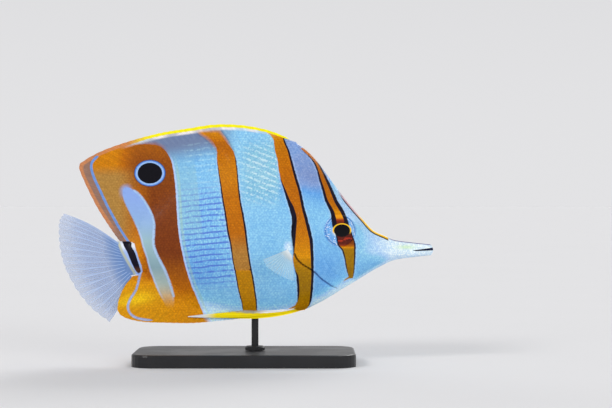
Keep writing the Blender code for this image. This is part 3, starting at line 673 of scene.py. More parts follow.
def make_skin(paint, mouth_paint):
    stations = np.concatenate([
        np.linspace(SKIN_END, 18, 150, endpoint=False), np.linspace(18, 64, 180, endpoint=False),
        np.linspace(64, SNOUT_TIP - TIP_ROUND, 44, endpoint=False),
        SNOUT_TIP - TIP_ROUND * (1 - np.sin(np.linspace(0, np.pi / 2, 8))),
    ])
    around = 240
    angle = np.linspace(0, 2 * np.pi, around, endpoint=False)
    x = np.repeat(stations[:, None], around, axis=1)
    top, level, bottom, _ = section(x)
    reach = np.where(np.cos(angle) > 0, top - level, level - bottom)
    z = level + reach * np.cos(angle)
    y = surface(x, z) * np.sign(np.sin(angle)) * (np.abs(np.sin(angle)) > 1e-9)
    lean = smooth(-38, SKIN_END, x) * TAIL_LEAN
    points = np.stack([x + lean * z, y, z], axis=-1).reshape(-1, 3)
    faces = grid_faces(len(stations), around, around=True).tolist()
    faces.append(list(range(around)))
    faces.append(list(range((len(stations) - 1) * around, len(stations) * around))[::-1])
    skin = make_piece("skin", points, faces)
    skin.data.materials.append(paint)
    recalculated(skin)
    # The mouth is cut as a slit on each side; the cut faces take the cutter's near-black paint, painted
    # shade inside the mouth.
    for low, high in ((-6, -MOUTH_WALL), (MOUTH_WALL, 6)):
        cut = prism("mouth_cutter", MOUTH_SLIT, low, high)
        cut.data.materials.append(mouth_paint)
        modifier = skin.modifiers.new("mouth", "BOOLEAN")
        modifier.operation, modifier.solver, modifier.object = "DIFFERENCE", "EXACT", cut
        modifier.material_mode = "TRANSFER"
        bpy.context.view_layer.update()
        graph = bpy.context.evaluated_depsgraph_get()
        mesh = bpy.data.meshes.new_from_object(skin.evaluated_get(graph))
        skin.modifiers.clear()
        skin.data = mesh
        bpy.data.objects.remove(cut)
    mesh.shade_smooth()
    mesh.set_sharp_from_angle(angle=math.radians(50))
    add_fields(skin)
    return skin


def prism(name, outline, low, high):
    count = len(outline)
    points = [(x, y, z) for y in (low, high) for x, z in outline]
    faces = [list(range(count)), list(range(count, 2 * count))]
    faces += [[i, (i + 1) % count, count + (i + 1) % count, count + i] for i in range(count)]
    obj = make_piece(name, points, faces, smooth_shading=False)
    recalculated(obj)
    return obj


# Scales


def lattice(x0, x1, z0, z1, spacing):
    """Staggered places in the side view, a pitch apart in rows, each moved a little at random."""
    pitch, rise = spacing
    rows = np.arange(z0, z1, rise)
    columns = np.arange(x0, x1, pitch)
    x, z = np.meshgrid(columns, rows)
    x = x + (np.arange(len(rows)) % 2)[:, None] * pitch / 2
    draw = np.random.default_rng(PLACE_SEED)
    moved = [v + draw.uniform(-PLACE_JITTER, PLACE_JITTER, v.shape) * pitch for v in (x, z)]
    return tuple(v.ravel() for v in moved)


def make_scales(name, side, places, out, plate):
    """Overlapping plates on one flank, each rooted ahead of its place and lifted at its rear.

    out gives the distance of the skin or fin from the midplane at side-view places.
    """
    x, z = places
    step = 0.35
    slope_x = slope_of(lambda at: out(at, z), x, step)
    slope_z = slope_of(lambda at: out(x, at), z, step)
    centre = np.stack([x, side * out(x, z), z], axis=-1)
    rearward = np.stack([-np.ones_like(x), -side * slope_x, np.zeros_like(x)], axis=-1)
    rearward /= np.linalg.norm(rearward, axis=1)[:, None]
    normal = np.stack([-slope_x, side * np.ones_like(x), -slope_z], axis=-1)
    normal /= np.linalg.norm(normal, axis=1)[:, None]
    upward = np.cross(normal, rearward) * side
    turns = np.radians([-78, -46, -16, 16, 46, 78])
    local = [(0.0, 0.0, 0.75)]
    local += [(math.cos(t), math.sin(t), 1.0) for t in turns]
    local += [(-0.55, 0.75, -0.2), (-0.95, 0.0, -0.5), (-0.55, -0.75, -0.2)]
    local = np.array(local)
    points = centre[:, None] + sum(
        way[:, None] * (local[:, k] * plate[k])[None, :, None]
        for k, way in enumerate((rearward, upward, normal))
    )
    ring = len(local) - 1
    fan = np.array([[0, 1 + k, 1 + (k + 1) % ring] for k in range(ring)])
    if side > 0:
        fan = fan[:, ::-1]
    faces = (fan[None] + np.arange(len(x))[:, None, None] * len(local)).reshape(-1, 3)
    obj = make_piece(name, points.reshape(-1, 3), faces)
    own = np.random.default_rng(TONE_SEED).uniform(-0.25, 0.25, len(x))
    tone = np.array([1.0] + [0.1] * len(turns) + [0.3] * 3)
    add_fields(obj, plate=(tone[None, :] + own[:, None]).ravel())
    lay_out(obj, side, x, z, local[:, :2])
    return obj


def lay_out(obj, side, x, z, local):
    """Gives each scale its own small patch, at its root's place on a flat layout of the flanks."""
    u = 0.02 + 0.96 * (x - LAYOUT_X[0]) / (LAYOUT_X[1] - LAYOUT_X[0])
    v = 0.5 - side * (0.02 + 0.46 * (z - LAYOUT_Z[0]) / (LAYOUT_Z[1] - LAYOUT_Z[0]))
    patch = np.stack([u, v], axis=-1)[:, None, :] + (local * LAYOUT_PATCH * [-1, 1])[None]
    layer = obj.data.uv_layers.new(name="OFBake")
    corners = np.empty(len(obj.data.loops), int)
    obj.data.loops.foreach_get("vertex_index", corners)
    layer.data.foreach_set("uv", patch.reshape(-1, 2)[corners].ravel())


def scaled_places(in_head, fins):
    """Places for scales on the head or the body, clear of eyes, nostrils, gill slit and fins."""
    x, z = lattice(-47, 66, -26, 50, HEAD_PITCH if in_head else BODY_PITCH)
    top, _, bottom, _ = section(x)
    side, _ = slit_side(x, z)
    ahead = np.where(z > GILL_SLIT[0][1], x > NAPE_START, side > 0)
    ahead = np.where(z < THROAT_TOP, x > THROAT_START, ahead)
    kept = (z < top - 0.8) & (z > bottom + 0.8) & (ahead if in_head else ~ahead)
    kept &= np.abs(side) > (0.5 if in_head else 1.0)
    kept &= np.hypot(x - EYE_PLACE[0], z - EYE_PLACE[1]) > EYE_RADIUS + 1.2
    for place, radius in NOSTRILS:
        kept &= np.hypot(x - place[0], z - place[1]) > radius + 0.7
    x, z = x[kept], z[kept]
    for fin in fins:
        clear = ~exposed(fin, x, z)
        x, z = x[clear], z[clear]
    return x, z


def fin_sheath(fin, reach):
    """Places for scales over the inner part of a fin."""
    x, z = lattice(-66, 22, -28, 54, BODY_PITCH)
    _, share, room, _ = fin(x, z)
    kept = exposed(fin, x, z) & (share < reach) & (room > SHEATH_MARGIN)
    return x[kept], z[kept]


def fin_side(obj):
    """A function that describes a fin's left face at side-view places.

    It returns the distance from the midplane, the share of the way out along the rays, the
    distance from the fin's edge, and whether the place is on the fin at all.
    """
    mesh = obj.data
    places = places_of(mesh)
    rim, margin = (np.empty(len(places), np.float32) for _ in range(2))
    mesh.attributes["rim"].data.foreach_get("value", rim)
    mesh.attributes["margin"].data.foreach_get("value", margin)
    chosen = np.flatnonzero(places[:, 1] > 0)
    tree = KDTree(len(chosen))
    for i in chosen:
        tree.insert((places[i, 0], 0, places[i, 2]), int(i))
    tree.balance()

    def at(x, z):
        found = [tree.find_n((a, 0, b), 4) for a, b in zip(x, z)]
        index = np.array([[hit[1] for hit in hits] for hits in found])
        away = np.array([[hit[2] for hit in hits] for hits in found])
        weight = 1 / (away + 0.05) ** 2
        weight /= weight.sum(axis=1, keepdims=True)
        known = (places[:, 1], rim, margin)
        out, share, room = ((values[index] * weight).sum(axis=1) for values in known)
        return out, share, room, away[:, 0] < 0.5

    return at


def exposed(fin, x, z):
    """Whether a fin's face lies outside the skin at side-view places."""
    out, _, _, on_fin = fin(x, z)
    top, _, bottom, _ = section(x)
    over_skin = (z < top) & (z > bottom) & (x > SKIN_END)
    return on_fin & (~over_skin | (out > surface(x, z)))


# Fins


def blade(
    name, roots, tips, rays, root_thick, facing, spines=0, spiny_share=0.0, swing=None, sunk=2.6,
    notch=0.4, membrane=0.3, ray_relief=0.16, spine_relief=0.32, per_ray=8, rows=56, blend_body=False,
    tucked=False, lens=0.0,
):
    """A fin as one closed sheet, with each ray raised on both faces and forked towards its tip."""
    steps = (rays - 1) * per_ray + 1
    q = np.linspace(0, rays - 1, steps)
    soft = max(1, rays - 1 - spines)
    soft_shares = spiny_share + (q - spines) / soft * (1 - spiny_share)
    shares = np.where(q < spines, q / max(1, spines) * spiny_share, soft_shares)
    t = parameters_at(roots, shares)
    root, tip = follow(roots, t), follow(tips, t)
    length = np.linalg.norm(tip - root, axis=1)
    between = np.abs(q - np.round(q)) * 2
    last = 1 - np.minimum(0.4, notch * between**2 / length)
    run = np.linspace(0, 1, rows)
    v = (-sunk / length)[:, None] + (last + sunk / length)[:, None] * run[None, :]
    place = root[:, None, :] + (tip - root)[:, None, :] * v[..., None]
    out = np.maximum(0, v)
    if swing:
        place = place + swing(place, shares[:, None], out)
    is_spine = (np.round(q) < spines)[:, None]
    fork = np.where(is_spine, 0, 0.34 * smooth(0.45, 1.0, out))
    ridge = hump(between[:, None], fork, np.where(is_spine, 0.3, 0.2))
    thick = membrane + (root_thick - membrane) * (1 - np.clip(v, 0, 1)) ** 2
    rise = np.where(is_spine, spine_relief, ray_relief)
    half = thick / 2 + rise * ridge * (1 - 0.55 * out)
    half = half * (1 - lens * (2 * shares[:, None] - 1) ** 2 * smooth(0.3, 0.0, v))
    if tucked:
        half = half * (0.25 + 0.75 * smooth(-0.05, 0.2, v))
    if blend_body:
        covered = np.where(place[..., 0] > SKIN_END, surface(place[..., 0], place[..., 2]), 0)
        under = covered - half
        half = smooth_max(half, covered, BLEND) - BLEND_SINK - DEEP_SINK * smooth(1.6, 3.2, under)
    shift = np.array(Vector(facing).normalized()) * half[..., None]
    points = np.concatenate([(place + shift).reshape(-1, 3), (place - shift).reshape(-1, 3)])
    other = steps * rows
    sheet = grid_faces(steps, rows)
    edge = [i * rows for i in range(steps)] + [(steps - 1) * rows + j for j in range(1, rows)]
    edge += [i * rows + rows - 1 for i in range(steps - 2, -1, -1)] + list(range(rows - 2, 0, -1))
    rim = [[a, b, b + other, a + other] for a, b in zip(edge, edge[1:] + edge[:1])]
    obj = make_piece(name, points, sheet.tolist() + (sheet[:, ::-1] + other).tolist() + rim)
    recalculated(obj)
    obj.data.set_sharp_from_angle(angle=math.radians(60))
    margin = (last[:, None] - v) * length[:, None]
    across = np.broadcast_to(shares[:, None], v.shape)
    both = {"margin": margin, "ray": ridge, "rim": out, "across": across}
    add_fields(obj, **{key: np.tile(value.ravel(), 2) for key, value in both.items()})
    return obj


def flat_pairs(pairs):
    return [[(x, 0.0, z) for x, z in ends] for ends in zip(*pairs)]


def make_dorsal_fin():
    return blade(
        "dorsal_fin_skin", *flat_pairs(DORSAL), 38, 2.2, (0, 1, 0), spines=9, spiny_share=0.42,
        sunk=12, blend_body=True, per_ray=9, rows=84, notch=0.16,
    )


def make_anal_fin():
    return blade(
        "anal_fin_skin", *flat_pairs(ANAL), 23, 2.0, (0, 1, 0), spines=3, spiny_share=0.2,
        sunk=12, blend_body=True, per_ray=9, rows=68, notch=0.14,
    )


def make_caudal_fin():
    (top_x, top_z), (low_x, low_z) = TAIL_ROOT
    shares = np.linspace(0, 1, len(CAUDAL_TIPS))
    roots = [(top_x + s * (low_x - top_x), 0.0, top_z + s * (low_z - top_z)) for s in shares]
    tips = [(x, 0.0, z) for x, z in CAUDAL_TIPS]

    def swing(place, s, v):
        shift = np.zeros_like(place)
        shift[..., 1] = CAUDAL_SWING * v**1.7
        shift[..., 2] = CAUDAL_BOW * (1 - 2 * s) * np.sin(np.pi * v)
        return shift

    return blade(
        "caudal_fin_skin", roots, tips, 17, 1.3, (0, 1, 0), swing=swing, sunk=0.8, notch=0.5,
        membrane=0.16, ray_relief=0.12, per_ray=16, rows=72, lens=0.8,
    )


def make_pelvic_fin(name, side):
    shares = np.linspace(0, 1, len(PELVIC_TIPS))
    (low_x, low_z), (top_x, top_z) = PELVIC_ROOT
    out = through(PELVIC_SIDE)

    def aside(x, z):
        free = out(x) + PELVIC_LEAN * (z - low_z)
        held = 0.7 * flank(x, np.maximum(z, belly(x) + 0.2))
        return side * (free + (held - free) * smooth(16.0, low_x, x))

    def placed(x, z):
        return (x, float(aside(np.array(x), np.array(z))), z)

    roots = [placed(low_x + s * (top_x - low_x), low_z + s * (top_z - low_z)) for s in shares]
    tips = [placed(x, z) for x, z in PELVIC_TIPS]

    def swing(place, _, v):
        shift = np.zeros_like(place)
        shift[..., 1] = aside(place[..., 0], place[..., 2]) - place[..., 1]
        shift[..., 2] = -PELVIC_SAG * np.sin(np.pi * v)
        return shift

    return blade(
        name, roots, tips, 6, 1.1, (0, side, -PELVIC_LEAN), spines=1, spiny_share=0.2, swing=swing,
        sunk=1.5, notch=0.2, membrane=0.3, ray_relief=0.14, per_ray=10, rows=64, tucked=True,
    )


def make_pectoral_fin(name, side):
    mirror = Vector((1, side, 1))
    fan = (PECTORAL_FAN - PECTORAL_FAN.dot(PECTORAL_AXIS) * PECTORAL_AXIS).normalized()
    roots, tips = [], []
    steps = 7
    for i in range(steps):
        s = i / (steps - 1)
        angle = math.radians(PECTORAL_SPREAD[0] + s * (PECTORAL_SPREAD[1] - PECTORAL_SPREAD[0]))
        ray = PECTORAL_AXIS * math.cos(angle) + fan * math.sin(angle)
        from_peak = abs(s - PECTORAL_PEAK) / (1 - PECTORAL_PEAK)
        length = PECTORAL_LENGTH * (1 - (1 - PECTORAL_SHORTEST) * from_peak)
        (top_x, top_z), (low_x, low_z) = PECTORAL_ROOT
        x, z = top_x + s * (low_x - top_x), top_z + s * (low_z - top_z)
        root = Vector((x, float(surface(np.array(x), np.array(z))) - 0.3, z))
        roots.append(tuple(root * mirror))
        tips.append(tuple((root + ray * length) * mirror))
    facing = PECTORAL_AXIS.cross(fan) * mirror
    return blade(
        name, roots, tips, 14, 0.9, facing, sunk=0.8, notch=0.5, membrane=0.12, ray_relief=0.08,
        per_ray=12, rows=56,
    )


# Eyes


def make_eye(name, side):
    """An eyeball whose front carries the iris, the pupil and the bar that crosses it."""
    x, z = EYE_PLACE
    step = 1.0
    here = flank(np.array([x - step, x + step, x, x, x]), np.array([z, z, z - step, z + step, z]))
    normal = Vector((-(here[1] - here[0]) / 2, side, -(here[3] - here[2]) / 2)).normalized()
    centre = Vector((x, side * here[4], z)) - normal * EYE_SUNK
    turn = normal.to_track_quat("Z", "Y").to_matrix()
    rings, around = 64, 96
    points = []
    for i in range(rings + 1):
        polar = math.pi * i / rings
        for j in range(around):
            a = 2 * math.pi * j / around
            depth = (EYE_BULGE + EYE_SUNK if polar < math.pi / 2 else EYE_DEPTH) * math.cos(polar)
            radius = EYE_RADIUS * math.sin(polar)
            points.append(centre + turn @ Vector((radius * math.cos(a), radius * math.sin(a), depth)))
    faces = grid_faces(rings + 1, around, around=True)
    obj = make_piece(name, points, faces)
    recalculated(obj, merge=True)
    obj.data.shade_smooth()
    add_fields(obj)
    places = places_of(obj.data)
    pupil = in_ellipse(places[:, 0], places[:, 2], PUPIL_PLACE, PUPIL_SIZE)
    iris = np.hypot(places[:, 0] - x, places[:, 2] - z) / EYE_RADIUS
    store(obj.data, {"pupil": pupil, "iris": iris})
    return obj


# Materials


class Paint:
    """A material's node tree, with short calls for the nodes that the looks need.

    Noise and cell scales are per metre. ahead and up take millimetres, up from the fish's axis.
    """

    def __init__(self, name, roughness=0.4, coat=0.0, specular=0.12, coat_roughness=0.12):
        self.material = bpy.data.materials.new(name)
        self.material.use_nodes = True
        self.nodes, self.links = self.material.node_tree.nodes, self.material.node_tree.links
        self.shader = self.nodes["Principled BSDF"]
        for key, number in (
            ("Roughness", roughness), ("Coat Weight", coat), ("Coat Roughness", coat_roughness),
            ("Specular IOR Level", specular),
        ):
            self.shader.inputs[key].default_value = number
        self.place = self.nodes.new("ShaderNodeTexCoord").outputs["Object"]
        self.colour = None

    def plug(self, socket, value):
        if isinstance(value, bpy.types.NodeSocket):
            self.links.new(value, socket)
        elif isinstance(value, tuple) and len(value) == 3 and socket.type == "RGBA":
            socket.default_value = (*value, 1)
        else:
            socket.default_value = value

    def field(self, name):
        node = self.nodes.new("ShaderNodeAttribute")
        node.attribute_name = name
        return node.outputs["Fac"]

    def math(self, operation, a, b=0.0):
        node = self.nodes.new("ShaderNodeMath")
        node.operation = operation
        self.plug(node.inputs[0], a)
        self.plug(node.inputs[1], b)
        return node.outputs[0]

    def add(self, a, b):
        return self.math("ADD", a, b)

    def less(self, a, b):
        return self.math("SUBTRACT", a, b)

    def most(self, a, b):
        return self.math("MAXIMUM", a, b)

    def times(self, first, *others):
        for other in others:
            first = self.math("MULTIPLY", first, other)
        return first

    def step(self, value, low, high, start=0.0, end=1.0):
        """Start where value is below low, end where it is above high; low may be above high."""
        if low > high:
            low, high, start, end = high, low, end, start
        node = self.nodes.new("ShaderNodeMapRange")
        node.interpolation_type = "SMOOTHSTEP"
        self.plug(node.inputs["Value"], value)
        for key, number in (("From Min", low), ("From Max", high), ("To Min", start), ("To Max", end)):
            node.inputs[key].default_value = number
        return node.outputs[0]

    def band(self, value, low, high, soft):
        """1 where low < value < high, with soft edges."""
        below = self.step(value, high + soft, high - soft)
        return self.times(self.step(value, low - soft, low + soft), below)

    def axis(self, name):
        node = self.nodes.new("ShaderNodeSeparateXYZ")
        self.links.new(self.place, node.inputs[0])
        return node.outputs[name]

    def ahead(self, low, high):
        """A step along the fish, from its middle forwards."""
        return self.step(self.axis("X"), low * MM, high * MM)

    def up(self, low, high, start=0.0, end=1.0):
        """A step upwards."""
        return self.step(self.axis("Z"), (AXIS_HEIGHT + low) * MM, (AXIS_HEIGHT + high) * MM, start, end)

    def mix(self, share, a, b, blend="MIX"):
        node = self.nodes.new("ShaderNodeMix")
        node.data_type = "RGBA"
        node.blend_type = blend
        self.plug(node.inputs[0], share)
        self.plug(node.inputs[6], a)
        self.plug(node.inputs[7], b)
        return node.outputs[2]

    def tint(self, colour, share, low, high):
        """Colour multiplied by low where share is 0 and by high where it is 1."""
        return self.mix(1.0, colour, self.mix(share, low, high), "MULTIPLY")

    def lay(self, share, colour):
        """Lays a colour over the material's colour so far."""
        self.colour = self.mix(share, self.colour, colour)

    def shade(self, share, low, high):
        """Tints the material's colour so far."""
        self.colour = self.tint(self.colour, share, low, high)

    def ramp(self, value, stops):
        node = self.nodes.new("ShaderNodeValToRGB")
        ramp = node.color_ramp
        while len(ramp.elements) < len(stops):
            ramp.elements.new(0.5)
        for element, (position, colour) in zip(ramp.elements, stops):
            element.position = position
            element.color = (*colour, 1)
        self.plug(node.inputs[0], value)
        return node.outputs[0]

    def mapped(self, kind, scale, stretch=(1, 1, 1)):
        mapping = self.nodes.new("ShaderNodeMapping")
        mapping.inputs["Scale"].default_value = stretch
        self.links.new(self.place, mapping.inputs["Vector"])
        node = self.nodes.new(kind)
        node.inputs["Scale"].default_value = scale
        self.links.new(mapping.outputs[0], node.inputs["Vector"])
        return node

    def noise(self, scale, detail=2.0, rough=0.5, stretch=(1, 1, 1)):
        node = self.mapped("ShaderNodeTexNoise", scale, stretch)
        node.inputs["Detail"].default_value = detail
        node.inputs["Roughness"].default_value = rough
        return node.outputs[0]

    def waver(self, scale, detail, amount):
        """Noise around zero."""
        return self.times(self.less(self.noise(scale, detail), 0.5), amount)

    def cells(self, scale):
        return self.mapped("ShaderNodeTexVoronoi", scale).outputs["Distance"]

    def bump(self, height, depth, strength):
        node = self.nodes.new("ShaderNodeBump")
        node.inputs["Strength"].default_value = strength
        node.inputs["Distance"].default_value = depth * MM
        self.links.new(height, node.inputs["Height"])
        return node.outputs[0]

    def finish(self, roughness=None, normal=None, alpha=None):
        for key, value in (
            ("Base Color", self.colour), ("Roughness", roughness), ("Normal", normal), ("Alpha", alpha),
        ):
            if value is not None:
                self.plug(self.shader.inputs[key], value)
        return self.material


class Skin(Paint):
    """Paint with the fish's whole pattern, from the fields that skin, scales and fins carry."""

    def __init__(self, name):
        super().__init__(name, coat=0.04)
        self.wobble, self.wander = self.waver(900, 3, 0.5), self.waver(160, 2, 0.5)
        self.speck = self.noise(1400, 2)
        self.plate = self.step(self.field("plate"), -0.1, 1.1)
        self.rows = self.field("rows")
        for layer in (
            pale_ground, scale_rows, copper_bars, pale_wedge, fin_margins, blue_lines, eye_spot,
            tail_stem, crown_stripe, snout_marks, gill_edge,
        ):
            layer(self)

    def marked(self, name, amount=1.0):
        """A field whose edges waver a little."""
        return self.add(self.field(name), self.times(self.wobble, amount))


def pale_ground(paint):
    """Pale skin, darker at the edges of scales, grey under the dorsal fin's rim, with painted sparkles, and
    lighter low on the flank, partly painted light.
    """
    ground = paint.add(paint.field("ground"), paint.times(paint.wander, 0.3))
    paint.colour = paint.ramp(ground, [
        (0.0, (0.22, 0.30, 0.56)), (0.14, (0.25, 0.38, 0.70)), (0.3, (0.14, 0.40, 0.82)),
        (0.55, (0.235, 0.56, 0.87)), (0.7, (0.31, 0.64, 0.88)), (0.85, (0.48, 0.70, 0.95)),
        (1.0, (0.76, 0.90, 0.97)),
    ])
    paint.shade(paint.plate, (0.84, 0.915, 0.98), (1.18, 1.09, 1.02))
    # Random specks: the darker ones vary the tone, the lightest are painted sparkles of light off the
    # scales, strongest along the scale rows.
    rough = paint.mix(paint.rows, (0.85, 0.90, 0.96), (0.78, 0.88, 0.97))
    bright = paint.mix(paint.rows, (1.18, 1.11, 1.04), (1.34, 1.20, 1.02))
    paint.shade(paint.step(paint.speck, 0.40, 0.66), rough, bright)
    # Lower flank lifted brighter and bluer: partly the fish's own paler belly, partly painted light against
    # the shade under the body.
    paint.shade(paint.field("under"), (1.0, 1.0, 1.0), (1.02, 1.14, 1.17))
    paint.lay(paint.times(paint.field("grey"), 0.95), (0.17, 0.215, 0.36))


def scale_rows(paint):
    """Rows of scales on the flank, pale above and edged in violet blue below."""
    turn = 2 * math.pi
    phase = paint.times(paint.field("row_level"), turn / ROW_PITCH)
    phase = paint.add(phase, paint.times(paint.wander, 6.5))
    wave = paint.math("SINE", phase)
    row = paint.step(wave, 0.2, 0.95)
    broken = paint.step(paint.noise(420, 1), 0.3, 0.5, 0.4, 1.0)
    parted = paint.step(paint.noise(650, 1), 0.42, 0.56)
    grains = paint.step(paint.noise(1250, 1), 0.40, 0.56)

    # Pale dashes above, closer and stronger ahead of the middle bar
    dashes, forward = paint.field("dashes"), paint.ahead(-4.0, 3.0)
    parted = paint.add(paint.times(parted, paint.step(forward, 1.0, 0.0)), paint.times(grains, forward))
    share = paint.times(paint.mix(forward, row, paint.step(wave, -0.2, 0.9)), dashes, parted)
    paint.shade(paint.times(dashes, forward), (1.0, 1.0, 1.0), (0.86, 0.90, 0.86))
    paint.lay(
        paint.times(share, paint.step(forward, 0.0, 1.0, 0.32, 0.62)),
        paint.mix(forward, (0.58, 0.86, 0.93), (0.76, 0.93, 0.96)),
    )

    # Dark rows and cells below, staggered from row to row
    shift = paint.times(paint.math("FLOOR", paint.times(phase, 1 / turn)), math.pi)
    across = paint.times(paint.axis("X"), turn / (CELL_PITCH * MM))
    across = paint.add(paint.add(across, paint.times(paint.wander, 9)), shift)
    cell = paint.step(paint.math("SINE", across), 0.6, 1.0)
    paint.lay(paint.times(cell, paint.rows, broken, 0.5), (0.11, 0.25, 0.74))
    paint.lay(paint.times(row, paint.rows, broken, 0.9), (0.09, 0.19, 0.70))


def copper_bars(paint):
    """Copper bars with a pale line beside each and a black border inside its edge."""
    inside, black = paint.marked("copper"), paint.field("black")
    rear = paint.step(black, -45, -50)
    mist = paint.times(paint.step(inside, -15, -8), rear, paint.up(43, 33), paint.up(4, 16, 0.0, 0.32))
    paint.lay(mist, (0.32, 0.57, 0.60))
    beside = paint.times(paint.band(inside, -2.1, -1.1, 0.3), rear, paint.up(43, 33), 0.35)
    paint.lay(beside, (0.46, 0.66, 0.42))
    depth = paint.add(inside, paint.times(rear, 0.2))
    pale = paint.times(paint.add(paint.times(rear, 0.45), 0.3), paint.up(43, 37))
    paint.lay(paint.times(paint.step(depth, -0.75, -0.4), pale), (0.52, 0.66, 0.95))

    copper = paint.ramp(paint.add(paint.field("tone"), paint.times(paint.wobble, 0.2)), [
        (0.0, (0.21, 0.042, 0.005)), (0.2, (0.36, 0.095, 0.004)), (0.4, (0.54, 0.155, 0.001)),
        (0.6, (0.76, 0.30, 0.001)), (0.8, (0.43, 0.21, 0.001)), (1.0, (0.34, 0.17, 0.002)),
    ])
    copper = paint.mix(paint.field("gold"), copper, (0.47, 0.25, 0.055))
    # Painted highlight: the bright yellow spot where the anal fin curves.
    copper = paint.mix(paint.field("anal_highlight"), copper, (1.0, 0.68, 0.01))
    copper = paint.tint(copper, paint.plate, (0.90, 0.87, 0.87), (1.09, 1.11, 1.11))
    copper = paint.tint(copper, paint.step(paint.speck, 0.4, 0.7), (0.89, 0.87, 0.84), (1.09, 1.11, 1.11))
    copper = paint.mix(paint.step(black, -0.1, 0.1), copper, (0.009, 0.006, 0.018))

    # The middle bar fades at its top and all bars at the belly
    hazy = paint.most(paint.times(paint.up(38, 49), paint.ahead(4, -4)), paint.up(-21.5, -24.5))
    edge = paint.step(paint.less(inside, paint.times(hazy, 1.2)), -0.13, 0.13)
    paint.lay(paint.most(edge, paint.times(paint.step(inside, -1.0, 1.5), hazy)), copper)


def pale_wedge(paint):
    """Pale wedge within the rear bar, edged in light lines, fading out downwards."""
    tone = paint.ramp(paint.up(-20, 30), [
        (0.0, (0.50, 0.56, 0.46)), (0.25, (0.27, 0.42, 0.48)), (0.55, (0.34, 0.52, 0.58)),
        (0.75, (0.30, 0.48, 0.76)), (1.0, (0.28, 0.43, 0.86)),
    ])
    depth = paint.marked("wedge")
    haze = paint.times(paint.step(depth, -1.9, 0.7), paint.up(22, 28), paint.ahead(-44, -48), 0.8)
    wedge = paint.most(paint.step(depth, -0.35, 0.4), haze)
    paint.lay(paint.times(wedge, paint.up(-20.5, -9)), tone)
    rim_line = paint.times(paint.band(depth, 0.05, 0.75, 0.2), paint.up(16, 8), paint.up(-18, -12), 0.6)
    paint.lay(rim_line, (0.50, 0.62, 0.95))
    paint.lay(paint.step(paint.marked("wedge_edge", 0.5), 0.62, 0.2, 0.0, 0.75), (0.44, 0.68, 0.97))


def fin_margins(paint):
    """Brownish edge beyond the blue line, and the dorsal fin's rim with a white line under it."""
    margin = paint.field("margin")
    outside = paint.times(paint.step(paint.field("outside"), -0.2, 0.5), paint.step(margin, FAR - 1, 30))
    streaks = paint.mix(paint.noise(500, 2, stretch=(0.35, 1, 1)), (0.25, 0.13, 0.09), (0.40, 0.21, 0.14))
    paint.lay(outside, streaks)
    upper, behind = paint.up(8, 16), paint.ahead(-36, -48)
    patchy = paint.step(paint.noise(110, 1), 0.38, 0.6, 0.45, 1.0)
    within = paint.times(paint.ahead(-51, -41), paint.ahead(13, 3))
    white = paint.times(paint.band(margin, 1.2, 2.5, 0.55), upper, within, patchy)
    paint.lay(white, (0.92, 0.87, 0.86))
    rim_depth = paint.less(paint.add(paint.times(behind, 0.4), 1.4), margin)
    rim_colour = paint.mix(behind, (1.0, 0.90, 0.008), (0.64, 0.24, 0.08))
    paint.lay(paint.times(paint.step(rim_depth, -0.15, 0.25), upper), rim_colour)


def blue_lines(paint):
    """Blue lines along the edges of the dorsal and anal fins."""
    anal = paint.marked("anal_line", 0.5)
    paint.lay(paint.step(paint.marked("dorsal_line", 0.5), 0.62, 0.4), (0.16, 0.31, 0.70))
    paint.lay(paint.step(anal, 0.60, 0.36), (0.30, 0.38, 0.66))
    paint.lay(paint.step(anal, 0.28, 0.08, 0.0, 0.6), (0.62, 0.68, 0.86))


def eye_spot(paint):
    """Black spot in a pale blue ring with a dark outer edge."""
    spot = paint.marked("spot", 0.4)
    for low, high, colour in (
        (-1.55, -1.25, (0.045, 0.045, 0.07)), (-1.25, -1.05, (0.10, 0.25, 0.74)),
        (-0.85, -0.6, (0.32, 0.52, 0.90)), (-0.16, 0.06, (0.003, 0.0025, 0.006)),
    ):
        paint.lay(paint.step(spot, low, high), colour)


def tail_stem(paint):
    """Pale tail stem with its black mark."""
    end = paint.field("stem_end")
    pale = paint.mix(paint.up(2, 5), (0.36, 0.50, 0.86), (0.80, 0.85, 0.95))
    pale = paint.mix(paint.step(end, 1.1, 0.5, 0.0, 0.8), pale, (0.50, 0.51, 0.32))
    pale = paint.mix(paint.step(end, 0.1, -0.5), pale, (0.17, 0.29, 0.57))
    paint.lay(paint.step(paint.marked("stem"), -0.15, 0.2), pale)
    black = paint.mix(paint.up(-2.8, -5), (0.005, 0.003, 0.012), (0.09, 0.03, 0.012))
    paint.lay(paint.step(paint.marked("stem_black", 0.4), -0.12, 0.12), black)


def crown_stripe(paint):
    """Stripe down the forehead, pink then yellow in a dark border, and the snout's dark ridge."""
    crown = paint.marked("crown", 0.25)
    along = paint.times(paint.ahead(36.5, 40), paint.ahead(57.5, 57))
    paint.lay(paint.times(paint.step(crown, 1.15, 0.95), along), (0.04, 0.010, 0.03))
    stripe = paint.mix(paint.ahead(44, 47.5), (0.62, 0.38, 0.42), (1.0, 0.60, 0.006))
    paint.lay(paint.times(paint.step(crown, 0.68, 0.5), along), stripe)
    paint.lay(paint.times(paint.step(crown, 0.34, 0.18), paint.ahead(57.2, 58)), (0.055, 0.06, 0.26))


def snout_marks(paint):
    """Greenish patch on the snout, and painted shade: the front edge of the wall inside the mouth darkened
    to near black.
    """
    paint.lay(paint.times(paint.field("moss"), 0.6), (0.62, 0.87, 0.36))
    # Painted shade on the front edge of the mouth's inner wall.
    half = MOUTH_WALL * 1.2 * MM
    wall = paint.band(paint.axis("Y"), -half, half, 0.03 * MM)
    wall = paint.times(wall, paint.up(3.24, 3.36), paint.up(4.06, 3.94), paint.ahead(74.0, 74.3))
    paint.lay(wall, (0.02, 0.025, 0.09))


